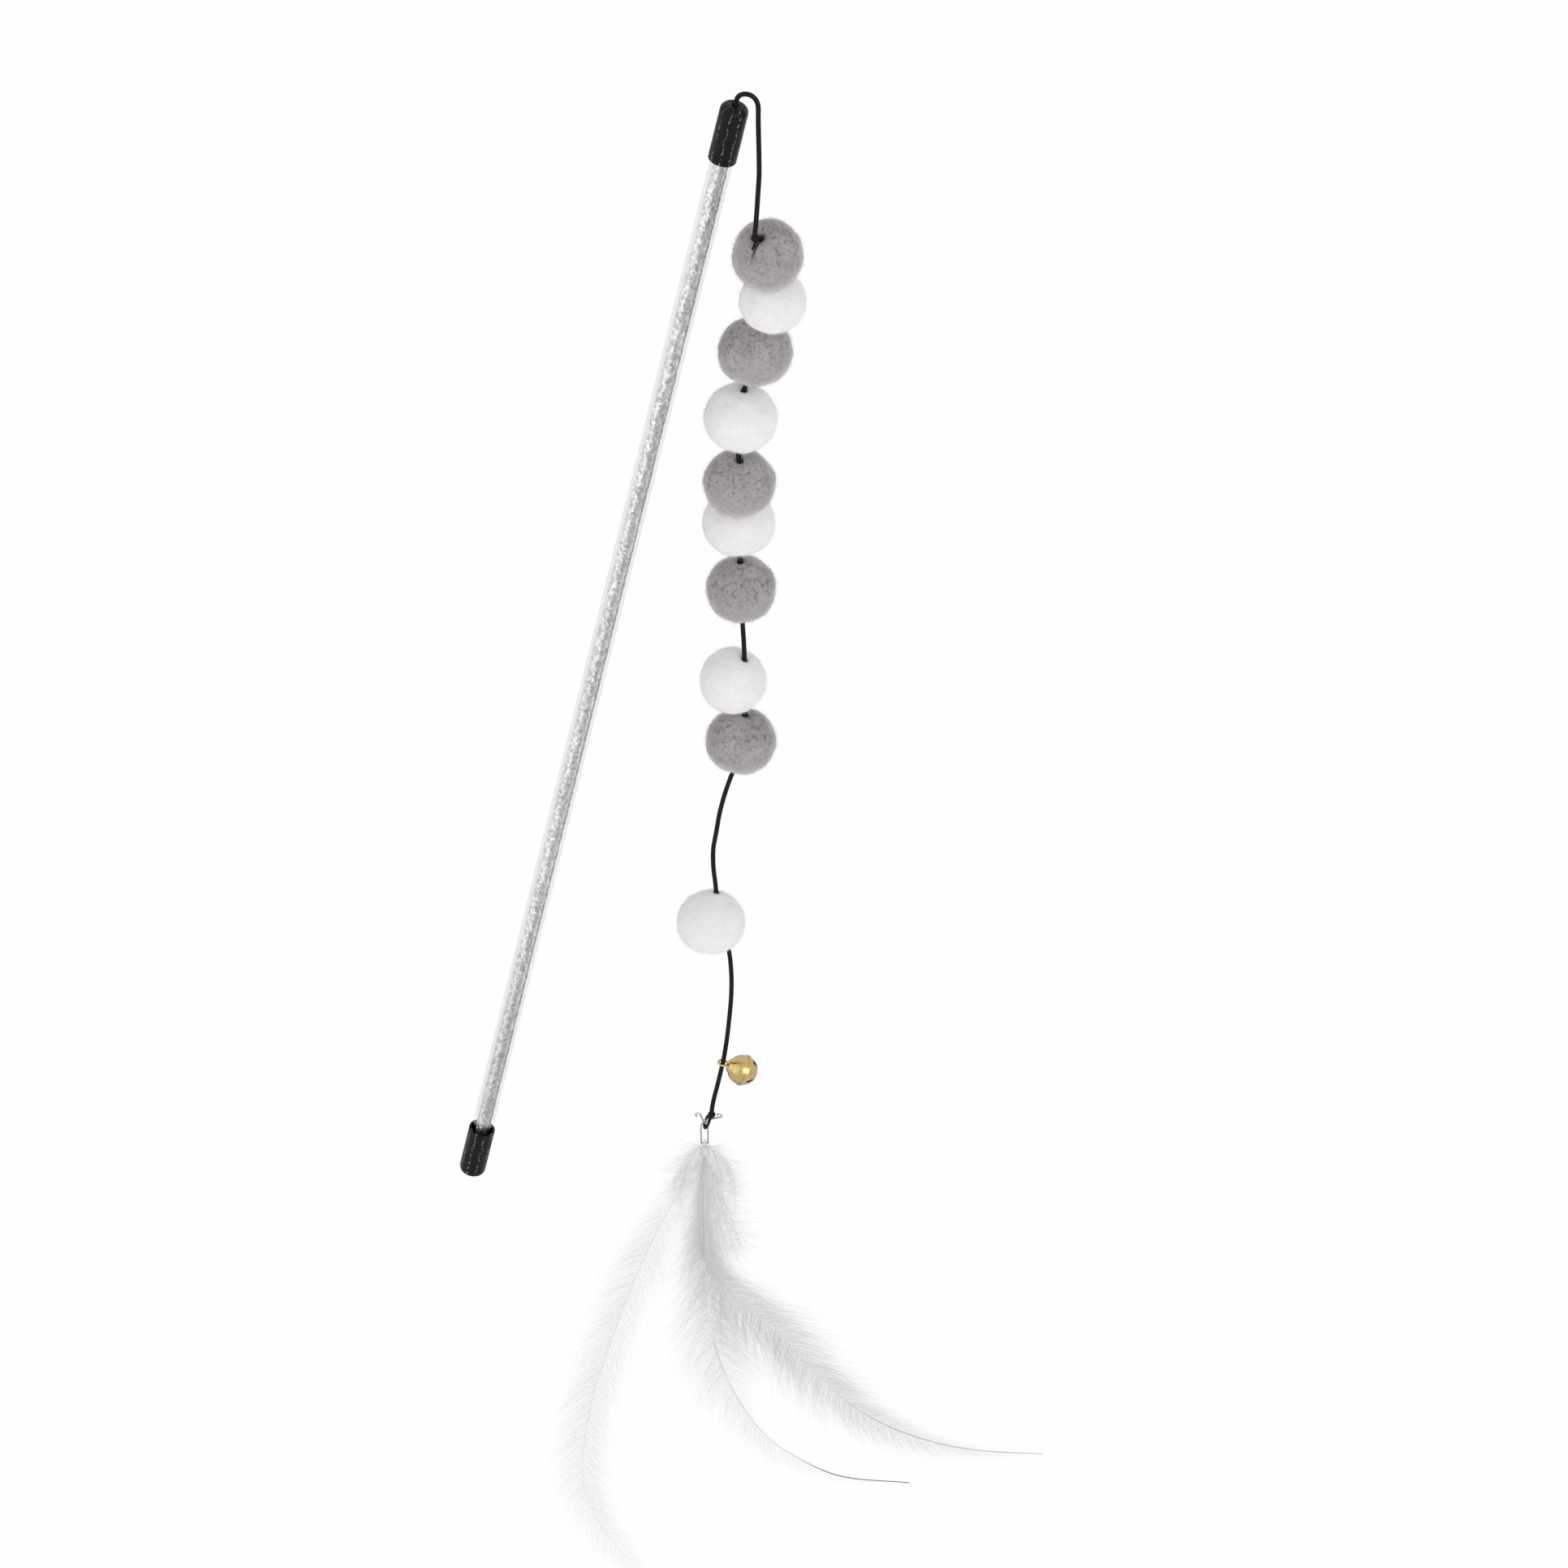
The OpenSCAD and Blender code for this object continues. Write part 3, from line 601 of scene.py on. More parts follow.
def make_felt(name, base, dark, pale, shade, rim, stroke_share, painted_rim_from, sheen):
    made, tree, shader = finish_of(name, Roughness=0.95, Sheen_Weight=sheen, Sheen_Roughness=0.4,
                                   Specular_IOR_Level=0.1)
    flecks = flecks_of(tree, FELT_FLECKS, base, dark, pale)
    recess_shade, upper = [put(tree, "ShaderNodeAttribute", attribute_name=label).outputs["Fac"]
                     for label in ("recess_shade", "upper")]
    # Painted light and shade: the lower half is washed paler, and the dark strokes gather on the upper half.
    painted_lower_light = ranged(tree, upper, TOP_SHADE_FROM, TOP_SHADE_TO, 0.75, 0.0)
    painted_top_shade = ranged(tree, upper, TOP_SHADE_FROM, TOP_SHADE_TO, 0.3, 1.0)
    strokes = cloud(tree, object_place(tree), STROKE_SCALE, 2, Roughness=0.5, Distortion=0.5)[0]
    strokes_and_top_shade = maths(tree, "MULTIPLY", ranged(tree, strokes, 0.53, 0.68, 0.0, stroke_share), painted_top_shade)
    colour = colour_mix(tree, painted_lower_light, flecks["Color"], pale)
    colour = colour_mix(tree, strokes_and_top_shade, colour, shade)
    # Painted shade in the mouths, the bore and the slit.
    colour = colour_mix(tree, recess_shade, colour, shade)
    # Painted sheen: a pale rim where the surface turns away from the eye.
    colour = colour_mix(tree, ranged(tree, facing_away(tree, 0.4), painted_rim_from, 0.95), colour, rim)
    link_surface(tree, shader, flecks["Height"], 0.35 * MM, 0.55, Base_Color=colour)
    return made


GREY_FELT = make_felt("grey_felt", srgb(162, 156, 158), srgb(126, 119, 121), srgb(176, 171, 173),
                      srgb(60, 57, 58), srgb(212, 209, 210), stroke_share=0.44, painted_rim_from=0.4, sheen=0.4)
WHITE_FELT = make_felt("white_felt", srgb(236, 234, 234), srgb(231, 229, 229), srgb(242, 240, 240),
                       srgb(150, 147, 147), srgb(254, 253, 253), stroke_share=0.02, painted_rim_from=0.15, sheen=0.7)

# %% [markdown]
# ## Metals and feather
# The bell is polished gold-coloured sheet metal under clear lacquer, the clasp bright steel wire.
# Both are metallic with a low roughness that varies with handling. A painted reflection of a room's
# darker parts darkens the base colour where the metal turns away from the eye, and a layer weight
# gives that. A feather is a thin white fibre that lets light through, so its barbs are half
# transparent. Its quill is denser and slightly darker, and the two right feathers' quills darken
# towards their bare tips.


# %% Metals
def make_metal(name, light, dark, low, high, scale, rim, lacquer=0.0):
    made, tree, shader = finish_of(name, Metallic=1.0, Coat_Weight=lacquer, Coat_Roughness=0.2, Coat_IOR=1.9)
    grain = grain_of(tree, scale, low, high)
    flecks = flecks_of(tree, scale * 0.4, light, dark, light)
    # Painted reflection: the rim colour darkens the metal where it turns away from the eye.
    painted_reflection_share = ranged(tree, facing_away(tree, 0.25), 0.22, 0.65)
    link_surface(tree, shader, grain["Height"], 0.03 * MM, 0.25, Roughness=grain["Roughness"],
                 Base_Color=colour_mix(tree, painted_reflection_share, flecks["Color"], rim))
    return made


GOLD = make_metal("gold_metal", srgb(190, 162, 84), srgb(140, 112, 52), 0.24, 0.34, 1400.0,
                  srgb(30, 24, 20), lacquer=0.8)
STEEL = make_metal("bright_steel", srgb(184, 184, 186), srgb(146, 146, 149), 0.16, 0.34, 2200.0,
                   srgb(70, 70, 72))
PELLET_STEEL = make_metal("pellet_steel", srgb(150, 150, 150), srgb(118, 118, 120), 0.25, 0.5, 1800.0,
                          srgb(90, 90, 92))


# %% Feather
def make_feather(name, base, dark, alpha, tip=None):
    """A tip is a colour and the two places along X between which the fibre turns to that colour."""
    made, tree, shader = finish_of(name, Roughness=0.8, Sheen_Weight=0.2, Sheen_Roughness=0.5, Alpha=alpha,
                                   Specular_IOR_Level=0.15)
    flecks = flecks_of(tree, 500.0, base, dark, srgb(250, 250, 250))
    colour = flecks["Color"]
    if tip:
        tip_colour, start, end = tip
        share = ranged(tree, parts_of(tree, object_place(tree))["X"], start, end)
        colour = colour_mix(tree, share, colour, tip_colour)
    link_surface(tree, shader, flecks["Height"], 0.05 * MM, 0.3, Base_Color=colour)
    return made


FEATHER = make_feather("white_feather", srgb(250, 249, 248), srgb(240, 238, 237), 0.28)
SOFT_FEATHER = make_feather("soft_feather", srgb(248, 247, 246), srgb(236, 234, 233), 0.55)
DOWN = make_feather("white_down", srgb(250, 249, 248), srgb(237, 235, 234), 0.52)
PALE_QUILL = make_feather("pale_quill", srgb(248, 247, 246), srgb(240, 238, 237), 0.35)
LOWER_QUILL = make_feather("lower_quill", srgb(226, 223, 221), srgb(214, 211, 209), 1.0,
                           (srgb(124, 121, 118), 0.098, 0.108))
UPPER_QUILL = make_feather("upper_quill", srgb(244, 243, 242), srgb(236, 234, 233), 0.9,
                           (srgb(194, 191, 188), 0.11, 0.13))
THREAD = make_feather("white_thread", srgb(229, 227, 226), srgb(215, 212, 211), 1.0)
print("finishes:", sorted(m.name for m in bpy.data.materials))


# %% Dressing a piece
def wear(obj, material):
    obj.data.materials.clear()
    obj.data.materials.append(material)


def dress(obj, material, body=None, replaced=()):
    """Gives a piece its finish, its body and the CAD nodes that it stands for. A piece that was
    grown with several finishes keeps them, and material is None."""
    if material:
        wear(obj, material)
    if body:
        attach(obj, body)
    if replaced:
        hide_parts(*replaced)
    return obj


# %% [markdown]
# ## The cord
# The cord is one tube from inside the tip cap to the knot above the clasp. Its first part lies in
# the cap's hole and the rest hangs over the cap's edge. A bend place is measured along a direction
# that leads out of the cap and slightly down, so the neck lies before it and every part of the
# hanging cord past it, and the script prints the least share past it. The knots are pulled turns of
# the same cord.

# %% Knots
# A knot's points, its height as a share of the cord's thickness, and how steeply its ends come in.
KNOT_STEPS, KNOT_HEIGHT, KNOT_STEEP = 40, 0.8, 6


def knot(name, mid, up, across, thick, turns):
    """Pulled turns of cord round the cord's own line, with one slanting turn over them."""
    up = unit(up)
    x = unit(np.cross(up, [0.2, 1, 0.1]))
    y = np.cross(up, x)
    turn_r, height = (across - thick) / 2, thick * KNOT_HEIGHT
    line = []
    for i in range(KNOT_STEPS + 1):
        t = i / KNOT_STEPS
        a = 2 * math.pi * turns * t
        r = turn_r * min(1, KNOT_STEEP * t, KNOT_STEEP * (1 - t))
        line.append(mid + (t - 0.5) * height * up + r * (math.cos(a) * x + math.sin(a) * y))
    return tube(name, line, thick / 2, sides=10, rounded=True)


# %% The cord
BEND_L, BEND_FROM, BEND_WAY = 1.2 * MM, 0.7 * MM, unit(np.array([1, 0, -0.15]))
ROUTE_STEPS = 4
PAST_ARC = 28  # the smoothed route's points before this one lie on the arc over the cap
neck = [PIVOT - d * MM * WAND_UP for d in (5.0, 4.0, 3.0, 2.0, 1.0)]
hanging = smooth_line(route, ROUTE_STEPS)
cord_line = neck + hanging
cord = tube("tail_cord_sleeve", cord_line, CORD_R, sides=12)
dress(cord, ELASTIC, replaced=["tail_cord"])
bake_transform(cord)
past_bend = [((p - PIVOT) @ BEND_WAY - BEND_FROM) / BEND_L for p in hanging]
print("least share of the tail past the bend:", round(min(past_bend[PAST_ARC:]), 2))
print("cord:", len(cord_line), "rings")

# %% [markdown]
# The stop knot sits in its chamber in the tip cap and turns with the swivel. The upper knot lies
# against the first ball, and its short cut end hangs down over that ball along the needle's slit.

# %% Stop knot and upper knot
SMALL_KNOT, STOP_KNOT = 2.4 * MM, 3.4 * MM
PULLED = 0.75 * 2 * CORD_R
stop_knot_at = (WAND_L - GRIP_AT - CAP_END - RUN_CLEAR - STOP_KNOT / 2) * WAND_UP
stop_knot = knot("stop_knot", stop_knot_at, WAND_UP, STOP_KNOT, 2 * CORD_R, 2.2)
dress(stop_knot, ELASTIC, "cord_swivel", ["cord_stop_knot"])
upper_knot = knot("upper_knot", tip_end, bore_in[0] - tip_end, SMALL_KNOT, PULLED, 1.7)
dress(upper_knot, ELASTIC, "tail", ["upper_cord_knot"])

# %% The upper knot's cut end
# How far the cut end is from the bore at each point, and how high it lies over the felt, in millimetres.
CUT_END = [(1.5, 1.1), (2.4, 1.1), (3.3, 1.05), (4.2, 1.0)]
CUT_END_R, SLIT_SLANT = PULLED * 0.38, 0.12


def ball_axes(k):
    """The axes that the CAD turns a ball's bore by: across, across, and out of the upper mouth."""
    up = -bore_dir[k]
    turn = math.atan2(up[1], up[0])
    tip = math.acos(up[2])
    x = np.array([math.cos(tip) * math.cos(turn), math.cos(tip) * math.sin(turn), -math.sin(tip)])
    return x, np.cross(up, x), up


def knot_end():
    """The knot's short cut end lies down over the first ball, along its slit."""
    x, y, up = ball_axes(0)
    line = [tip_end]
    for away, height in CUT_END:
        turn = away * MM / ball_r[0]
        out = math.sin(turn) * unit(x - SLIT_SLANT * y) + math.cos(turn) * up
        line.append(bore_mid[0] + (ball_r[0] + height * MM) * out)
    return line


cut_end = tube("upper_knot_end", smooth_line(knot_end(), 3), CUT_END_R, sides=10, rounded=True)
dress(cut_end, ELASTIC, "tail")

# %% [markdown]
# The cord ends in a knot, and its last stretch comes back to that knot as a small loop. The clasp
# hangs in the loop. The loop leans with the pull of the feathers.

# %% End knot and loop
END_LOOP_R, END_LOOP_CORD_R, END_LOOP_LEAN = 2.1 * MM, 0.45 * MM, math.radians(25)
end_knot_mid = bore_mid[9] + END_KNOT_AT
end_loop_up = np.array([math.sin(END_LOOP_LEAN), 0, math.cos(END_LOOP_LEAN)])
end_loop_mid = end_knot_mid - (END_LOOP_R + SMALL_KNOT / 2) * end_loop_up
clasp_pin = end_loop_mid - END_LOOP_R * end_loop_up
end_knot = knot("end_knot", end_knot_mid, end_loop_up, SMALL_KNOT, PULLED, 2.2)
dress(end_knot, ELASTIC, "tail")
loop_line = ring_of(end_loop_mid, END_LOOP_R, end_loop_up, np.array([0, 1, 0]), 48)
end_loop = tube("end_loop", loop_line, END_LOOP_CORD_R, sides=10, closed=True)
dress(end_loop, ELASTIC, "tail", ["cord_end_knot"])
print("clasp hangs at", tuple(round(x * 1000, 1) for x in clasp_pin), "mm")

# %% [markdown]
# ## The rod
# The caps are turned: a sleeve with one closed, rounded end and a slightly rolled rim. The tip cap
# has a hole for the cord. The clear tube's CAD shape is right as it is, so it only gets its
# finish.

# %% Caps
RIM, LIP, FLOOR_EDGE, AXIS_GAP = 0.22 * MM, 0.2 * MM, 0.3 * MM, 0.02 * MM
WALL_SHARES = (0.1, 0.3, 0.5, 0.7, 0.9, 0.97)


def arc(cx, cy, r, start, end, steps):
    angles = np.radians(np.linspace(start, end, steps + 1))
    return [(cx + r * math.cos(a), cy + r * math.sin(a)) for a in angles]


def cap_profile(hole_r):
    """From the middle of the closed end, out and up the outside, over the rim and down the bore."""
    outside = arc(CAP_R - CAP_ROUND, CAP_ROUND, CAP_ROUND, -90, 0, 10)
    wall = [(CAP_R, CAP_ROUND + share * (CAP_L - CAP_ROUND - RIM)) for share in WALL_SHARES]
    rim = arc(CAP_R - RIM, CAP_L - RIM, RIM, 0, 90, 5) + arc(CAP_BORE_R + RIM, CAP_L - RIM, RIM, 90, 180, 5)
    floor = [(CAP_BORE_R, CAP_END + FLOOR_EDGE), (CAP_BORE_R - FLOOR_EDGE, CAP_END)]
    if hole_r:
        return [(hole_r, CAP_END)] + arc(hole_r + LIP, LIP, LIP, 180, 270, 4) + outside + wall + rim + floor
    return [(AXIS_GAP, 0)] + outside + wall + rim + floor + [(AXIS_GAP, CAP_END)]


tube_foot, tube_top = -GRIP_AT * WAND_UP, (WAND_L - GRIP_AT) * WAND_UP
handle_cap = turned("handle_cap_rubber", cap_profile(0), tube_foot, WAND_UP)
dress(handle_cap, RUBBER, "wand", ["handle_cap"])
tip_cap = turned("tip_cap_rubber", cap_profile(CORD_R + RUN_CLEAR), tube_top, -WAND_UP, closed=True)
dress(tip_cap, RUBBER, "wand", ["tip_cap"])
wear(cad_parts["clear_tube"], PLASTIC)
print("cap triangles:", 2 * len(tip_cap.data.polygons))

# %% [markdown]
# ## The film in the rod
# The film is one long strip, rolled into a loose spiral and crinkled all over. The corners of a fine
# grid on that spiral are pushed in and out at random, with a fixed seed, and each face keeps its
# own flat shading, so the strip glitters as foil does.

# %% Crinkled film
FILM_T, FILM_TURNS, FILM_PITCH = 0.15 * MM, 1.6, 0.55 * MM
FILM_INSET, CRINKLE, FILM_STEP = 6 * MM, 0.13 * MM, 0.85 * MM
FACETS_A_TURN, JITTER = 26, 0.3
rng = np.random.default_rng(7)


def film_strip():
    x, y = side_of(WAND_UP), np.array([0, 1, 0.0])
    foot, top = CAP_END + FILM_INSET, WAND_L - CAP_END - FILM_INSET
    rows, columns = int((top - foot) / FILM_STEP), int(FACETS_A_TURN * FILM_TURNS)
    outer, inner = [], []
    for i in range(rows + 1):
        z = foot + (top - foot) * i / rows
        for j in range(columns + 1):
            jitter = JITTER * rng.uniform(-1, 1, 2)
            a = 2 * math.pi * FILM_TURNS * (j + jitter[0] * (0 < j < columns)) / columns
            push = CRINKLE * rng.uniform(-1, 1)
            r = FILM_R - FILM_PITCH * a / (2 * math.pi) + push
            zj = z + jitter[1] * FILM_STEP * (0 < i < rows)
            for points, radius in ((outer, r), (inner, r - FILM_T)):
                points.append(tube_foot + zj * WAND_UP + radius * (math.cos(a) * x + math.sin(a) * y))
    return rows, columns, outer + inner


def film_faces(rows, columns):
    """Triangles on both sides of the strip, and a closing band round its border."""
    wide, faces = columns + 1, []
    back = (rows + 1) * wide
    for i in range(rows):
        for j in range(columns):
            a, b, c, d = i * wide + j, i * wide + j + 1, (i + 1) * wide + j + 1, (i + 1) * wide + j
            faces += [(a, b, c), (a, c, d)] if (i + j) % 2 else [(a, b, d), (b, c, d)]
    faces += [tuple(back + v for v in reversed(face)) for face in faces]
    border = [j for j in range(wide)] + [i * wide + columns for i in range(1, rows + 1)]
    border += [rows * wide + j for j in range(columns - 1, -1, -1)]
    border += [i * wide for i in range(rows - 1, 0, -1)]
    return faces + [(a, back + a, back + b, b) for a, b in zip(border, border[1:] + border[:1])]


rows, columns, film_points = film_strip()
film = mesh_object("film_glitter", film_points, film_faces(rows, columns), smooth=False)
dress(film, FILM, "wand", ["foil_roll"])
print("film facets:", len(film.data.polygons))

# %% [markdown]
# ## Geometry Nodes helpers
# Fuzz and feather barbs repeat by the thousand, so Geometry Nodes make them. A tree is built in the
# script with named inputs. Each input is set on the modifier by its socket's identifier. The
# result becomes a plain mesh, and the modifier goes.


# %% Running a tree on an object
def grow(obj, tree, **values):
    """Runs the tree on obj with these inputs and leaves a plain mesh on it."""
    modifier = obj.modifiers.new(tree.name, "NODES")
    modifier.node_group = tree
    sockets = {s.name: s.identifier for s in tree.interface.items_tree if s.in_out == "INPUT"}
    for label, value in values.items():
        modifier[sockets[label.replace("_", " ")]] = value
    graph = bpy.context.evaluated_depsgraph_get()
    mesh = bpy.data.meshes.new_from_object(obj.evaluated_get(graph))
    obj.modifiers.clear()
    obj.data = mesh
    return obj


def geometry_tree(name, inputs):
    shape = [("Geometry", "Geometry")]
    return new_group(name, "GeometryNodeTree", shape + inputs, shape)


# %% [markdown]
# A few nodes come back in both trees: a thin closed mesh along a curve, a fibre made of one, random
# values, pieces joined, and a finish set on what the instances have become.


# %% Nodes that both trees use
def swept(tree, line, thickness, sides, radius):
    """A closed mesh along a curve. Its radius is the profile's radius times the thickness at each place."""
    sized = put(tree, "GeometryNodeSetCurveRadius", {"Curve": line, "Radius": thickness}).outputs[0]
    profile = put(tree, "GeometryNodeCurvePrimitiveCircle", {"Resolution": sides, "Radius": radius})
    return put(tree, "GeometryNodeCurveToMesh", {"Curve": sized, "Profile Curve": profile.outputs[0],
                                                 "Scale": thickness, "Fill Caps": True}).outputs[0]


def bent_fibre(tree, middle, end, radius, steps):
    """One fibre from the origin, bent through a middle point and thinner towards its end."""
    line = put(tree, "GeometryNodeCurveQuadraticBezier", {"Resolution": steps, "Start": (0, 0, 0),
                                                         "Middle": middle, "End": end}).outputs[0]
    factor = put(tree, "GeometryNodeSplineParameter").outputs["Factor"]
    return swept(tree, line, ranged(tree, factor, 0.0, 1.0, 1.0, 0.3), 3, radius)


def random_number(tree, low, high, seed):
    return put(tree, "FunctionNodeRandomValue", {2: low, 3: high, "Seed": seed}, data_type="FLOAT").outputs[1]


def random_vector(tree, low, high, seed):
    return put(tree, "FunctionNodeRandomValue", {0: low, 1: high, "Seed": seed},
               data_type="FLOAT_VECTOR").outputs[0]


def turned_by(tree, rotation, turn):
    return put(tree, "FunctionNodeRotateRotation", {"Rotation": rotation, "Rotate By": turn},
               rotation_space="LOCAL").outputs[0]


def joined(tree, *pieces):
    node = put(tree, "GeometryNodeJoinGeometry")
    for piece in pieces:
        tree.links.new(piece, node.inputs[0])
    return node.outputs[0]


def realized(tree, geometry, finish):
    """Instances made into a real mesh, with a finish set on it."""
    real = put(tree, "GeometryNodeRealizeInstances", {"Geometry": geometry}).outputs[0]
    return put(tree, "GeometryNodeSetMaterial", {"Geometry": real, "Material": finish}).outputs[0]


# %% [markdown]
# ## Felt balls
# A felt ball is rolled by hand: nearly round, with soft flats and lumps. Each ball here is a mesh
# with a real bore. Rings of points go over the ball from one mouth of the bore to the other and
# back through it. Slow noise makes the lumps, and fine noise the matted skin. A mouth is tight all
# round and worn open only on the side that the cord comes in from. The first ball has the slit that
# the needle left beside its upper mouth.

# %% Ball surface
RINGS, SIDES, BORE_R = 84, 128, CORD_R + RUN_CLEAR
LUMP, SKIN, SUNK = 0.4 * MM, 0.06 * MM, 0.35
# Noise scales and their shares, for the lumps and for the skin.
LUMP_NOISE, SKIN_NOISE = [(1.7, 1), (3.4, 0.5)], [(14, 1), (31, 0.6)]
# Each ball's stretch across the picture and along its bore. Hand-rolled balls are never quite round.
ROLLED = [(0.98, 1.03), (1.0, 1.0), (1.07, 1.0), (1.035, 0.99), (1.05, 0.97), (1.035, 1.0), (1.02, 1.01),
          (1.0, 1.0), (1.035, 0.97), (1.035, 0.98)]
MOUTH_PLAY, WORN, MOUTH_LIP, MOUTH_RISE = 0.1 * MM, 0.2 * MM, 0.35 * MM, 7
SLIT_L, SLIT_W, SLIT_DEEP, SLIT_FADE = 8 * MM, 0.6 * MM, 1.3 * MM, 3 * MM
# How dark the painted shade is at a mouth's edge, and at each ring inside the bore from the lower mouth to
# the upper one.
MOUTH_SHADE, BORE_SHADE = 0.3, (0.6, 0.9, 1, 1, 1, 0.9, 0.6)
INTO_BORE, UV_STEP = (0.4, 0.75), 0.4 * MM


def lumpy(direction, k):
    seed, d = Vector((17.0 * k, 5.0 * k, 3.0)), Vector(direction)
    slow, fine = [sum(share * noise.noise(d * scale + seed) for scale, share in rows)
                  for rows in (LUMP_NOISE, SKIN_NOISE)]
    return LUMP * slow + SKIN * fine


def on_ball(k, direction):
    """How far ball k's sphere is in that direction from the middle of its bore."""
    offset = bore_mid[k] - ball_mid[k]
    b = direction @ offset
    return -b + math.sqrt(b * b - offset @ offset + ball_r[k] ** 2)


def mouth_radii(k, side):
    """How wide the felt is worn open at one end of a bore, in each direction round it."""
    x, y, up = ball_axes(k)
    need = [BORE_R + MOUTH_PLAY] * SIDES
    for p in cord_line:
        off = p - bore_mid[k]
        if ball_r[k] - MOUTH_DEPTH < side * off @ bore_dir[k] < ball_r[k] + MOUTH_LIP:
            for j in range(SIDES):
                a = -2 * math.pi * j / SIDES
                need[j] = max(need[j], math.cos(a) * (off @ x) + math.sin(a) * (off @ y) + CORD_R + WORN)
    return need


def slit_depth(k, x_at, y_at, above):
    """How deep the needle slit is at a place beside the upper mouth of the first ball."""
    if k or not above or x_at < 0:
        return 0.0
    across = max(0.0, 1 - abs(y_at + SLIT_SLANT * x_at) / SLIT_W)
    along = max(0.0, min(1.0, (SLIT_L - x_at) / SLIT_FADE))
    return SLIT_DEEP * across * along


# %% Ball mesh
def felt_ball(k):
    x, y, up = ball_axes(k)
    straight, off_middle = ball_r[k] - MOUTH_DEPTH, bore_mid[k] - ball_mid[k]
    starts, stops = [[math.asin(r / ball_r[k]) for r in mouth_radii(k, side)] for side in (-1, 1)]
    rings, recess_shade, upper = [], [], []
    for i in range(RINGS + 1):
        ring = []
        for j, (start, stop) in enumerate(zip(starts, stops)):
            polar = start + (math.pi - start - stop) * i / RINGS
            above = polar < math.pi / 2
            a = -2 * math.pi * j / SIDES
            d = math.sin(polar) * (math.cos(a) * x + math.sin(a) * y) + math.cos(polar) * up
            reach = on_ball(k, d)
            # 0 at a mouth's edge, and 1 from a little way out of it.
            edge = min(1, max(0, MOUTH_RISE * (math.sin(polar) - math.sin(start if above else stop))))
            flat = reach * math.sin(polar)
            cut = slit_depth(k, flat * math.cos(a), flat * math.sin(a), above)
            reach += lumpy(d, k) * edge - LUMP * SUNK - cut - MOUTH_LIP * (1 - edge) ** 2
            off = d * reach + off_middle
            ring.append(ball_mid[k] + off + edge * ((ROLLED[k][0] - 1) * off[0] * np.array([1, 0, 0])
                                                    + (ROLLED[k][1] - 1) * (off @ up) * up))
            # Painted shade in the slit and at each mouth's edge.
            recess_shade.append(min(1, cut / SLIT_DEEP) + MOUTH_SHADE * (1 - edge) ** 2)
            upper.append(0.5 + 0.5 * (ring[-1][2] - ball_mid[k][2]) / ball_r[k])
        rings.append(ring)
    low, middle, high = [ring_of(bore_mid[k] + height * up, BORE_R, x, -y, SIDES)
                         for height in (-straight, 0, straight)]

    def between(first, second, share):
        return [p + share * (q - p) for p, q in zip(first, second)]

    top, foot = rings[0], rings[-1]
    rings += [between(foot, low, share) for share in INTO_BORE] + [low, middle, high]
    rings += [between(top, high, share) for share in reversed(INTO_BORE)]
    # Painted shade inside the bore.
    recess_shade += [share for share in BORE_SHADE for j in range(SIDES)]
    upper += [0.5] * (len(BORE_SHADE) * SIDES)
    ball = ring_surface(f"ball_{k + 1}_felt", rings, list(np.arange(len(rings) + 1) * UV_STEP),
                        2 * math.pi * ball_r[k], closed=True)
    for label, values in (("recess_shade", recess_shade), ("upper", upper)):
        painted = ball.data.attributes.new(label, "FLOAT", "POINT")
        painted.data.foreach_set("value", np.array(values, np.float32))
    return ball


# %% [markdown]
# The fuzz is a tree: points are spread over the ball, and an arched fibre is set on each, turned and
# sized at random with a fixed seed. Most fibres lie down on the felt, and a few stand up.

# %% Fuzz tree
FUZZ_DENSITY, FUZZ_LENGTH = 2.4e6, 1.2 * MM
# One fibre of length 1, then the least and greatest of its turns (radians) and of its size.
FUZZ_MIDDLE, FUZZ_END, FUZZ_R = (0.55, 0.1, 0.42), (1, -0.1, 0.12), 0.014
FUZZ_TURNS, FUZZ_SIZES = ((-0.45, -0.7, 0), (0.45, 0.25, 6.283)), (0.45, 1.25)


def make_fuzz():
    tree, given, out = geometry_tree("Felt fuzz", [("Density", "Float"), ("Fibre length", "Float"),
                                                   ("Seed", "Int"), ("Finish", "Material")])
    spread = put(tree, "GeometryNodeDistributePointsOnFaces",
                 {"Mesh": given["Geometry"], "Seed": given["Seed"], "Density": given["Density"]}).outputs
    fibre = bent_fibre(tree, FUZZ_MIDDLE, FUZZ_END, FUZZ_R, 3)
    tilt = random_vector(tree, *FUZZ_TURNS, given["Seed"])
    size = maths(tree, "MULTIPLY", random_number(tree, *FUZZ_SIZES, given["Seed"]), given["Fibre length"])
    placed = put(tree, "GeometryNodeInstanceOnPoints",
                 {"Points": spread["Points"], "Instance": fibre, "Scale": size,
                  "Rotation": turned_by(tree, spread["Rotation"], tilt)})
    everything = joined(tree, given["Geometry"], placed.outputs[0])
    connect(tree, out, Geometry=realized(tree, everything, given["Finish"]))
    return tree


FUZZ = make_fuzz()
print("fuzz tree:", len(FUZZ.nodes), "nodes")

# %% Ten balls
for k in BALLS:
    finish, slot = (WHITE_FELT, "white_felt") if k % 2 else (GREY_FELT, "grey_felt")
    ball = grow(felt_ball(k), FUZZ, Density=FUZZ_DENSITY, Fibre_length=FUZZ_LENGTH, Seed=k + 1, Finish=finish)
    dress(ball, finish, f"ball_{k + 1}", [f"felt_ball_{k + 1}"])
    ball.data.calc_loop_triangles()
    print(ball.name, "triangles:", len(ball.data.loop_triangles))

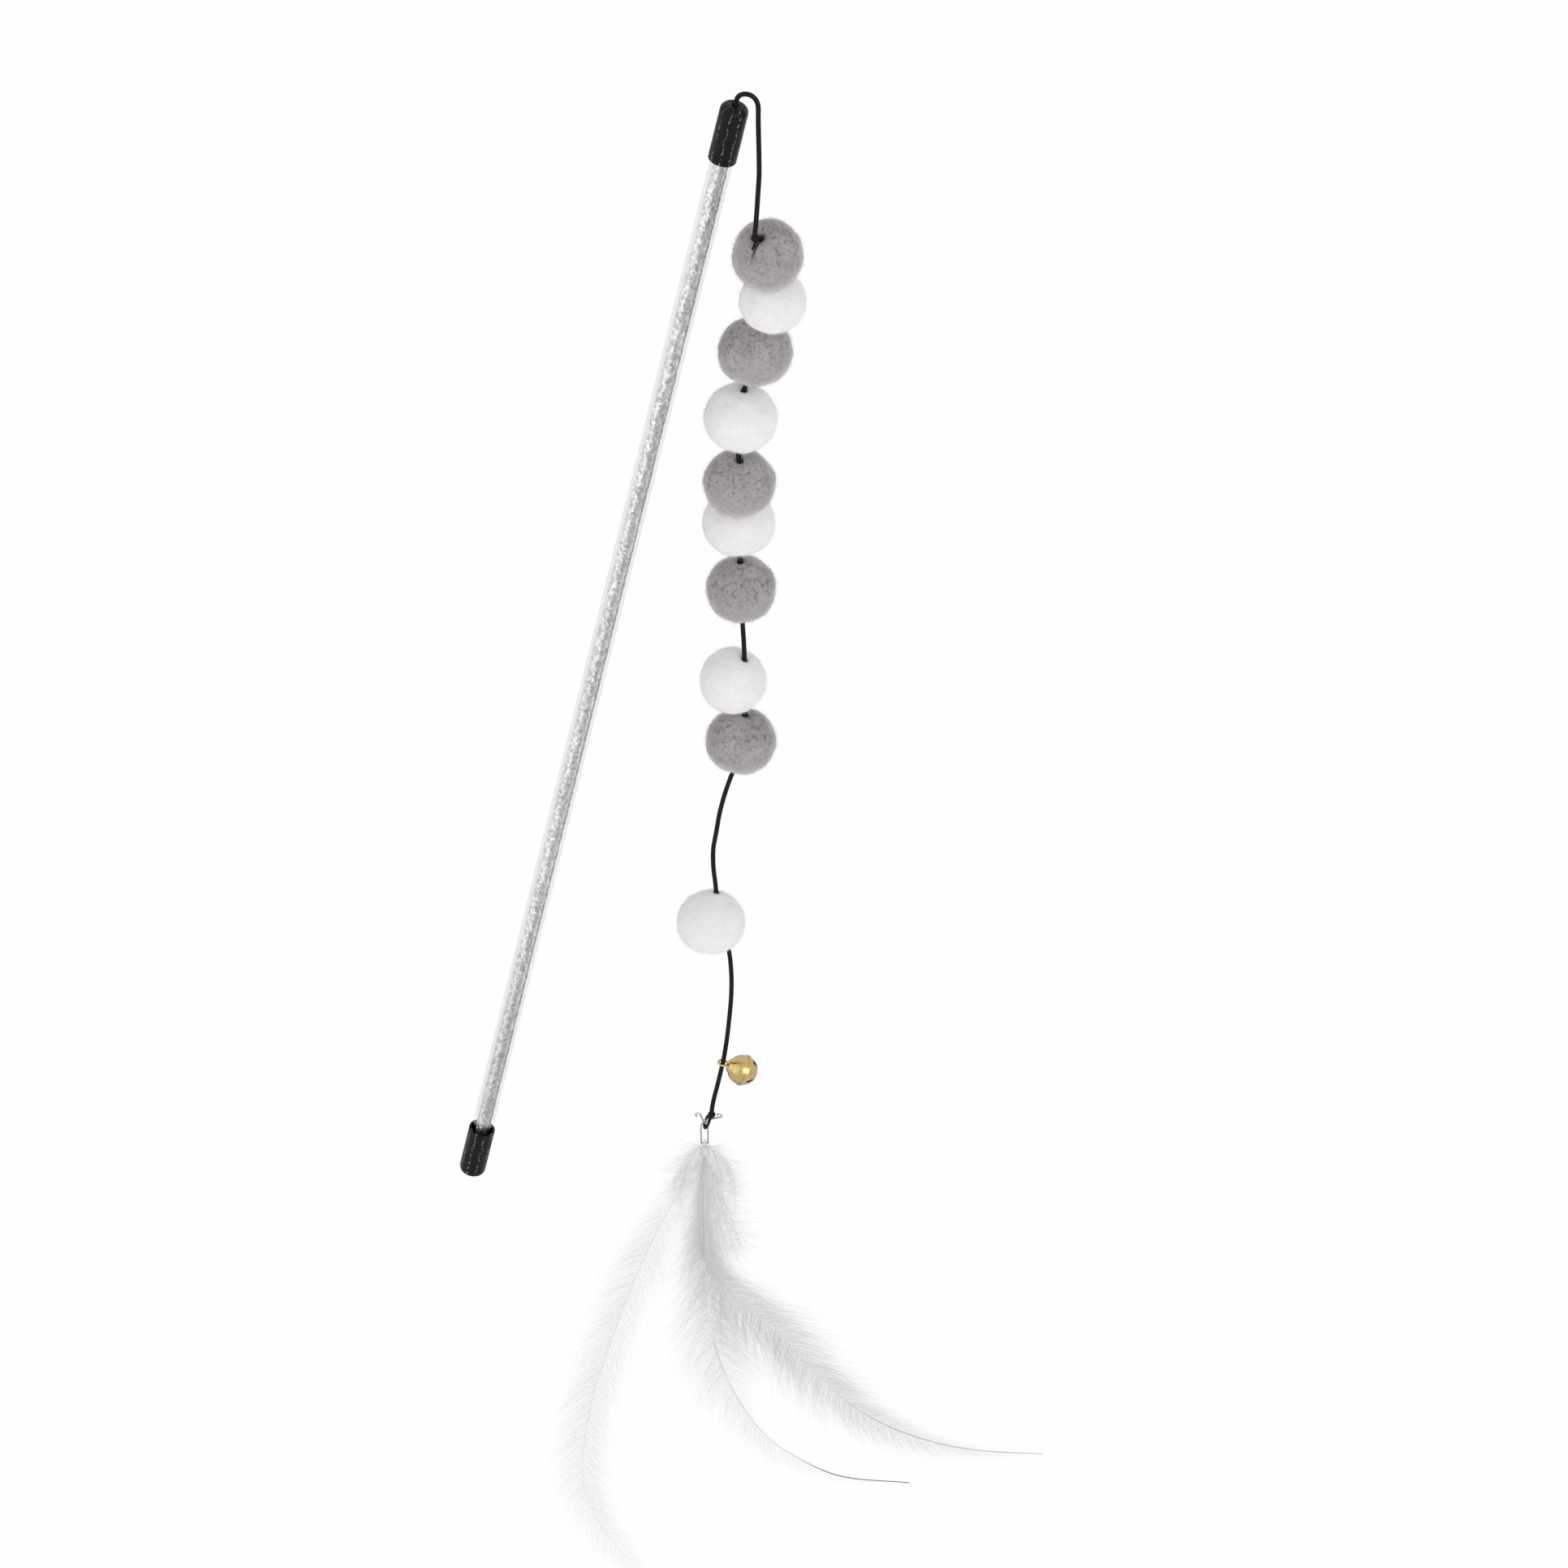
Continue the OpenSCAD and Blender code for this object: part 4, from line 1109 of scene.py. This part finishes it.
# %% [markdown]
# ## The bell
# A jingle bell is two pressed shells held by a seam, with crossed slots in the lower one and a wire
# loop through the top. The CAD shells have those slots as cuts, so they stay. The top shell draws
# in to a short neck towards its loop.

# %% Bell
for name in ("bell_bottom_shell", "bell_top_shell", "bell_loop"):
    wear(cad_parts[name], GOLD)
wear(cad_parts["bell_pellet"], PELLET_STEEL)

# %% [markdown]
# ## The clasp
# The clasp is one steel wire: a curled ear, an arm, a long narrow eye, and the other arm and ear. The
# arms cross above the cord's loop. A smooth tube along the CAD's own points keeps the wire round,
# and its cut ends are rounded off.

# %% Clasp wire
WIRE_R, HALF_EYE, EYE_L = 0.275 * MM, 1.05 * MM, 7 * MM
ARM_H, ARM_REACH, EAR_R = 5 * MM, 4.6 * MM, 0.7 * MM
CROSS_H, ARM_GAP = 1.6 * HALF_EYE, 1.3 * WIRE_R


def arc_points(x, y, z, r, start, end, steps):
    return [np.array([px, y, pz]) for px, pz in arc(x, z, r, start, end, steps)]


def clasp_route():
    half = HALF_EYE * 0.5
    crossing = [(-HALF_EYE * 0.45, -ARM_GAP, CROSS_H + ARM_H / 4), (0, -ARM_GAP, CROSS_H),
                (HALF_EYE * 0.6, -ARM_GAP * 0.7, CROSS_H * 0.5), (HALF_EYE, 0, -CROSS_H * 0.25),
                (HALF_EYE, 0, -EYE_L + half)]
    returning = [(-HALF_EYE, 0, -EYE_L + half), (-HALF_EYE, 0, -CROSS_H * 0.25),
                 (-HALF_EYE * 0.6, ARM_GAP * 0.7, CROSS_H * 0.5), (0, ARM_GAP, CROSS_H),
                 (ARM_REACH / 2, ARM_GAP, CROSS_H + ARM_H * 0.2)]
    line = arc_points(-ARM_H / 4 - EAR_R, -ARM_GAP, ARM_H, EAR_R, 230, 0, 6)
    line += [np.array(p) for p in crossing]
    line += arc_points(half, 0, -EYE_L + half, half, -30, -90, 2)
    line += arc_points(-half, 0, -EYE_L + half, half, -90, -150, 2)
    line += [np.array(p) for p in returning]
    line += arc_points(ARM_REACH, ARM_GAP, ARM_H * 0.8, EAR_R, -60, 150, 6)
    return [clasp_pin + p for p in line]


clasp = tube("clasp_bent_wire", smooth_line(clasp_route(), 5), WIRE_R, sides=14, rounded=True)
dress(clasp, STEEL, "clasp", ["clasp_wire"])
print("clasp faces:", len(clasp.data.polygons))

# %% [markdown]
# ## The binding
# White thread holds the quills together below the clasp. It is wound round them and
# carries a small thread loop over the clasp's lower bend.

# %% Binding
FEATHER_PIN = clasp_pin - np.array([0, 0, EYE_L])
BIND_RING_R, BIND_THREAD_R, BIND_D, BIND_L = 0.875 * MM, 0.3 * MM, 3.2 * MM, 4 * MM
THREAD_R, LAY_GAP, NECK_R, NECK_FROM, TURN_STEPS = 0.22 * MM, 1.7, 0.35 * MM, 0.6, 20
quill_roots = FEATHER_PIN - np.array([0, 0, BIND_RING_R + BIND_L])
thread_line = ring_of(FEATHER_PIN, BIND_RING_R, np.array([0, 1, 0]), np.array([0, 0, 1]), 40)
thread_loop = tube("thread_loop", thread_line, BIND_THREAD_R, sides=10, closed=True)
dress(thread_loop, THREAD, "feathers")


def winding():
    """Turns of thread laid side by side, wide below and narrow at the loop."""
    turns, wide = BIND_L / (LAY_GAP * THREAD_R), BIND_D / 2 - THREAD_R
    line = []
    for i in range(int(turns * TURN_STEPS) + 1):
        t = i / (turns * TURN_STEPS)
        r = wide + max(0.0, t - NECK_FROM) / (1 - NECK_FROM) * (NECK_R - wide)
        a = 2 * math.pi * turns * t
        height = THREAD_R + t * (BIND_L - 2 * THREAD_R)
        line.append(quill_roots + np.array([r * math.cos(a), r * math.sin(a), height]))
    return line


winding_line = winding()
binding = tube("thread_winding", winding_line, THREAD_R, sides=8, rounded=True)
dress(binding, THREAD, "feathers", ["quill_binding"])
print("winding rings:", len(winding_line))

# %% [markdown]
# ## Feathers
# A feather is a quill with hundreds of barbs on each side that lean towards the tip and hold
# together in clumps. The quill's line carries the width of the vane on its left and right as
# attributes. The tree sets one bent barb for each side at every step, and noise turns neighbours
# together, which splits the vane as in real feathers.

# %% Feather tables
LEFT_L, UPPER_RIGHT_L, LOWER_RIGHT_L, PLUME_L = 182 * MM, 139 * MM, 145 * MM, 60 * MM
FEATHER_STEP, FEATHER_BOW, QUILL_R = 0.75 * MM, 8 * MM, 0.3 * MM
LEFT_SHARES = [[0, 0, 0.01, 0.01], [-0.03, 0.05, 0.03, 0.03], [-0.065, 0.13, 0.045, 0.045],
               [-0.1, 0.22, 0.05, 0.055],
               [-0.14, 0.34, 0.045, 0.055], [-0.175, 0.46, 0.05, 0.055], [-0.205, 0.58, 0.05, 0.055],
               [-0.22, 0.7, 0.05, 0.05], [-0.215, 0.79, 0.045, 0.045], [-0.185, 0.87, 0.035, 0.04],
               [-0.14, 0.94, 0.02, 0.03], [-0.09, 1, 0, 0]]
UPPER_RIGHT_SHARES = [[0, 0, 0, 0], [-0.01, 0.08, 0, 0], [-0.015, 0.2, 0.04, 0.04], [0, 0.34, 0.07, 0.085],
                      [0.07, 0.46, 0.085, 0.11], [0.17, 0.58, 0.08, 0.1], [0.27, 0.74, 0.07, 0.08],
                      [0.37, 0.86, 0.05, 0.07], [0.49, 0.94, 0.03, 0.05], [0.62, 0.985, 0.015, 0.03],
                      [0.78, 1, 0, 0]]
LOWER_RIGHT_SHARES = [[0, 0, 0, 0], [-0.005, 0.08, 0.02, 0.03], [-0.005, 0.2, 0.04, 0.06],
                      [0, 0.36, 0.09, 0.09], [0.01, 0.52, 0.1, 0.09], [0.035, 0.64, 0.05, 0.08],
                      [0.075, 0.75, 0.02, 0.06],
                      [0.13, 0.85, 0.01, 0.055], [0.2, 0.92, 0.01, 0.035], [0.3, 0.98, 0.01, 0.02],
                      [0.45, 1, 0, 0]]


# %% Feather tree
# One barb of length 1, then the shortest barb that is set, the shares of length, and the pull of clumps.
BARB_MIDDLE, BARB_END = (0.6, 0.0, 0.45), (1.0, 0.0, 1.5)
LEAST_BARB, BARB_LENGTHS, CLUMP_PULL = 0.4 * MM, (0.45, 1.08), (0.8, 0.8, 0.8)


def make_vane():
    tree, given, out = geometry_tree("Feather vane", [("Barbs", "Int"), ("Looseness", "Float"),
                                                      ("Clump", "Float"), ("Barb thickness", "Float"),
                                                      ("Seed", "Int"), ("Finish", "Material"),
                                                      ("Quill finish", "Material")])

    def carried(label):
        return put(tree, "GeometryNodeInputNamedAttribute", {"Name": label}, data_type="FLOAT").outputs[0]

    line = put(tree, "GeometryNodeMeshToCurve", {"Mesh": given["Geometry"]}).outputs[0]
    quill = swept(tree, line, carried("quill_r"), 8, 1.0)
    steps = put(tree, "GeometryNodeResampleCurve", {"Curve": line, "Count": given["Barbs"]}).outputs[0]
    barb = bent_fibre(tree, BARB_MIDDLE, BARB_END, given["Barb thickness"], 4)
    tangent = put(tree, "GeometryNodeInputTangent").outputs[0]
    across = vector_maths(tree, "CROSS_PRODUCT", a=(0, 1, 0), b=tangent)
    place = put(tree, "GeometryNodeInputPosition").outputs[0]
    barbs = []
    for side, width, salt in ((-1.0, "left_w", 0), (1.0, "right_w", 50)):
        way = vector_maths(tree, "SCALE", a=across, scale=side)
        facing = put(tree, "FunctionNodeAxesToRotation", {"Primary Axis": tangent, "Secondary Axis": way},
                     primary_axis="Z", secondary_axis="X").outputs[0]
        seed = put(tree, "FunctionNodeIntegerMath", {0: given["Seed"], 1: salt}, operation="ADD").outputs[0]
        clump = put(tree, "ShaderNodeTexNoise", {"Vector": place, "Scale": given["Clump"], "Detail": 2,
                                                 "W": seed}, noise_dimensions="4D").outputs["Color"]
        wander = vector_maths(tree, "SUBTRACT", a=clump, b=(0.5, 0.5, 0.5))
        loose = random_vector(tree, (-1, -1, -1), (1, 1, 1), seed)
        total = vector_maths(tree, "MULTIPLY_ADD", a=wander, b=CLUMP_PULL, c=loose)
        swing = vector_maths(tree, "SCALE", a=total, scale=given["Looseness"])
        size = maths(tree, "MULTIPLY", carried(width), random_number(tree, *BARB_LENGTHS, seed))
        wide = put(tree, "FunctionNodeCompare", {0: size, 1: LEAST_BARB}, operation="GREATER_THAN",
                   data_type="FLOAT").outputs[0]
        barbs.append(put(tree, "GeometryNodeInstanceOnPoints",
                         {"Points": steps, "Selection": wide, "Instance": barb, "Scale": size,
                          "Rotation": turned_by(tree, facing, swing)}).outputs[0])
    soft = realized(tree, joined(tree, *barbs), given["Finish"])
    shiny = put(tree, "GeometryNodeSetMaterial", {"Geometry": quill, "Material": given["Quill finish"]})
    connect(tree, out, Geometry=joined(tree, soft, shiny.outputs[0]))
    return tree


VANE = make_vane()
print("vane tree:", len(VANE.nodes), "nodes")


# %% Quill lines that carry their widths
def spine_object(name, lines):
    """Each line is (points, left widths, right widths, radii). All become one mesh of edges."""
    points, edges, columns = [], [], {"left_w": [], "right_w": [], "quill_r": []}
    for line, left, right, radii in lines:
        first = len(points)
        points += list(line)
        edges += [(first + i, first + i + 1) for i in range(len(line) - 1)]
        for label, values in zip(columns, (left, right, radii)):
            columns[label] += list(values)
    mesh = bpy.data.meshes.new(name)
    mesh.from_pydata([tuple(p) for p in points], edges, [])
    for label, values in columns.items():
        mesh.attributes.new(label, "FLOAT", "POINT").data.foreach_set("value", np.array(values, np.float32))
    return add_object(name, mesh)


# How many steps a quill's line has between two rows of its table, and how much thinner its tip is.
QUILL_STEPS, QUILL_TAPER = 5, 0.5


def feather_line(shares, length, layer, bow, quill_size):
    depth = layer * FEATHER_STEP
    places = [quill_roots + np.array([x * length, depth + bow * FEATHER_BOW * z**2, -z * length])
              for x, z, left, right in shares]
    line = smooth_line(places, QUILL_STEPS)
    at = np.linspace(0, len(shares) - 1, len(line))
    # The CAD's left is the side of cross(Y, way), which is where the first width goes.
    widths = [np.interp(at, range(len(shares)), [row[c] * length for row in shares]) for c in (2, 3)]
    return line, *widths, QUILL_R * quill_size * (1 - QUILL_TAPER * at / (len(shares) - 1))


# %% Long feathers
LONG_BARBS = {"Barbs": 3300, "Looseness": 0.22, "Clump": 110.0, "Barb_thickness": 0.003}
# The CAD node, its table, its length, its layer and bow in depth, its finishes and its quill's size.
FEATHERS = [("feather_left", LEFT_SHARES, LEFT_L, -0.5, -1, FEATHER, PALE_QUILL, 0.5),
            ("feather_lower_right", LOWER_RIGHT_SHARES, LOWER_RIGHT_L, 0.5, 0.2, FEATHER, LOWER_QUILL, 1.0),
            ("feather_upper_right", UPPER_RIGHT_SHARES, UPPER_RIGHT_L, 1.5, 1, SOFT_FEATHER, UPPER_QUILL,
             0.8)]
for i, (node, shares, length, layer, bow, finish, quill, quill_size) in enumerate(FEATHERS):
    spine = spine_object(node + "_vane", [feather_line(shares, length, layer, bow, quill_size)])
    vane = grow(spine, VANE, Seed=i + 1, Finish=finish, Quill_finish=quill, **LONG_BARBS)
    dress(vane, None, "feathers", [node])
    print(vane.name, "faces:", len(vane.data.polygons))

# %% [markdown]
# ## The short plume
# The plume is a tuft of downy feathers. Soft quills fan out from the binding, each with long limp
# barbs. Shorter ones start at the top of the binding and fall round it like a crown, and one dense
# quill fills the tuft's middle. The same tree makes them, with more looseness.

# %% Short plume
PLUME_QUILLS, CROWN_QUILLS = 9, 9
DOWNY_BARBS = {"Barbs": 160, "Looseness": 0.75, "Clump": 160.0, "Barb_thickness": 0.005}
# Points on a quill, widest vane, stretch and start of its arch, the arch's power, and the quill's radius.
FAN_SHAPE = (14, 7.5 * MM, 0.92, 0.06, 0.6, 0.16 * MM)
CROWN_SHAPE = (12, 5.5 * MM, 0.8, 0.15, 0.6, 0.12 * MM)
CORE_SHAPE = (14, 4.6 * MM, 0.95, 0.04, 0.8, 0.12 * MM)


def soft_quill(shape, origin, place):
    """One quill whose points are origin + place(t), with equal vanes that swell and close like an arch."""
    count, widest, stretch, start, power, radius = shape
    t = np.linspace(0, 1, count)
    width = widest * np.sin(np.pi * np.clip(t * stretch + start, 0, 1)) ** power
    return [origin + np.array(place(s)) for s in t], width, width, radius * (1 - 0.8 * t)


def fan_quill(q):
    fan = (q + 0.5) / PLUME_QUILLS * 2 - 1
    length = PLUME_L * (0.95 - 0.3 * abs(fan) + 0.05 * rng.uniform(-1, 1))
    belly = 2.6 * MM * (1 - 0.5 * fan * fan)

    def place(s):
        y = -1.1 * FEATHER_STEP - belly * math.sin(math.pi * min(1, s * 1.1))
        return fan * 8.5 * MM * s**0.7 + 4.5 * MM * s, y, -s * length

    return soft_quill(FAN_SHAPE, quill_roots, place)


def crown_quill(q):
    a = 2 * math.pi * (q + 0.5) / CROWN_QUILLS
    length = (24 + 5 * rng.uniform(-1, 1)) * MM

    def place(s):
        out = 1.2 * MM + 9 * MM * math.sin(1.5 * s)
        return out * math.cos(a), out * 0.5 * math.sin(a), -length * s**1.3

    return soft_quill(CROWN_SHAPE, quill_roots + np.array([0, 0, 0.95 * BIND_L]), place)


def core_quill():
    length = PLUME_L + (4 + 3 * rng.uniform(-1, 1)) * MM
    return soft_quill(CORE_SHAPE, quill_roots, lambda s: (2 * MM * s, -2.5 * FEATHER_STEP, -s * length))


down = [fan_quill(q) for q in range(PLUME_QUILLS)]
down += [crown_quill(q) for q in range(CROWN_QUILLS)] + [core_quill()]
plume = grow(spine_object("short_plume_down", down), VANE, Seed=11, Finish=DOWN, Quill_finish=PALE_QUILL,
             **DOWNY_BARBS)
dress(plume, None, "feathers", ["short_plume"])
print(plume.name, "faces:", len(plume.data.polygons))

# %% [markdown]
# ## Floor and light
# The photograph has a white background and even, soft light. The floor is a plain pale plane below
# the toy. For what the camera sees directly or in metal it is mixed with plain white, and it keeps
# a faint shadow. One broad lamp stands near the camera, and the world fills in the rest.

# %% Floor
FLOOR_Z, FLOOR_HALF, WHITE_SHARE = -0.2, 4, 0.98


def seen_rays(tree):
    """1 for what the camera sees directly, in metal or through glass."""
    path = put(tree, "ShaderNodeLightPath").outputs
    direct = maths(tree, "MAXIMUM", path["Is Camera Ray"], path["Is Glossy Ray"])
    return maths(tree, "MAXIMUM", direct, path["Is Transmission Ray"])


def make_floor():
    corners = [(x * FLOOR_HALF, y * FLOOR_HALF, FLOOR_Z) for x, y in ((-1, -1), (1, -1), (1, 1), (-1, 1))]
    floor = mesh_object("floor", corners, [(0, 1, 2, 3)])
    made, tree, shader = finish_of("pale_floor", Base_Color=srgb(246, 246, 246), Roughness=0.9)
    white = put(tree, "ShaderNodeEmission", {"Color": (1, 1, 1, 1), "Strength": 1.0})
    mixed = put(tree, "ShaderNodeMixShader", {0: maths(tree, "MULTIPLY", seen_rays(tree), WHITE_SHARE),
                                              1: shader.outputs[0], 2: white.outputs[0]})
    tree.links.new(mixed.outputs[0], tree.nodes["Material Output"].inputs["Surface"])
    wear(floor, made)


make_floor()
print("floor at", FLOOR_Z, "m")

# %% Light
WORLD_STRENGTH = 0.58
# Each lamp's name, place, size and power.
LAMPS = [("broad_lamp", (0.9, -1.5, 1.1), 1.2, 14.5), ("side_lamp", (-1.3, -0.6, 0.7), 1.8, 7)]


def make_world():
    world = bpy.data.worlds.new("soft_room")
    world.use_nodes = True
    bpy.context.scene.world = world
    tree = world.node_tree
    tree.nodes.clear()
    lit, seen = [put(tree, "ShaderNodeBackground", {"Color": (1, 1, 1, 1), "Strength": strength}).outputs[0]
                 for strength in (WORLD_STRENGTH, 1.0)]
    mixed = put(tree, "ShaderNodeMixShader", {0: seen_rays(tree), 1: lit, 2: seen})
    put(tree, "ShaderNodeOutputWorld", {"Surface": mixed.outputs[0]})


make_world()
for name, at, size, power in LAMPS:
    data = bpy.data.lights.new(name, "AREA")
    data.size, data.energy = size, power
    stand(name, data, at, LOOK_AT - Vector(at))
bpy.context.scene.view_settings.view_transform = "Standard"
print("lamps:", [name for name, at, size, power in LAMPS])
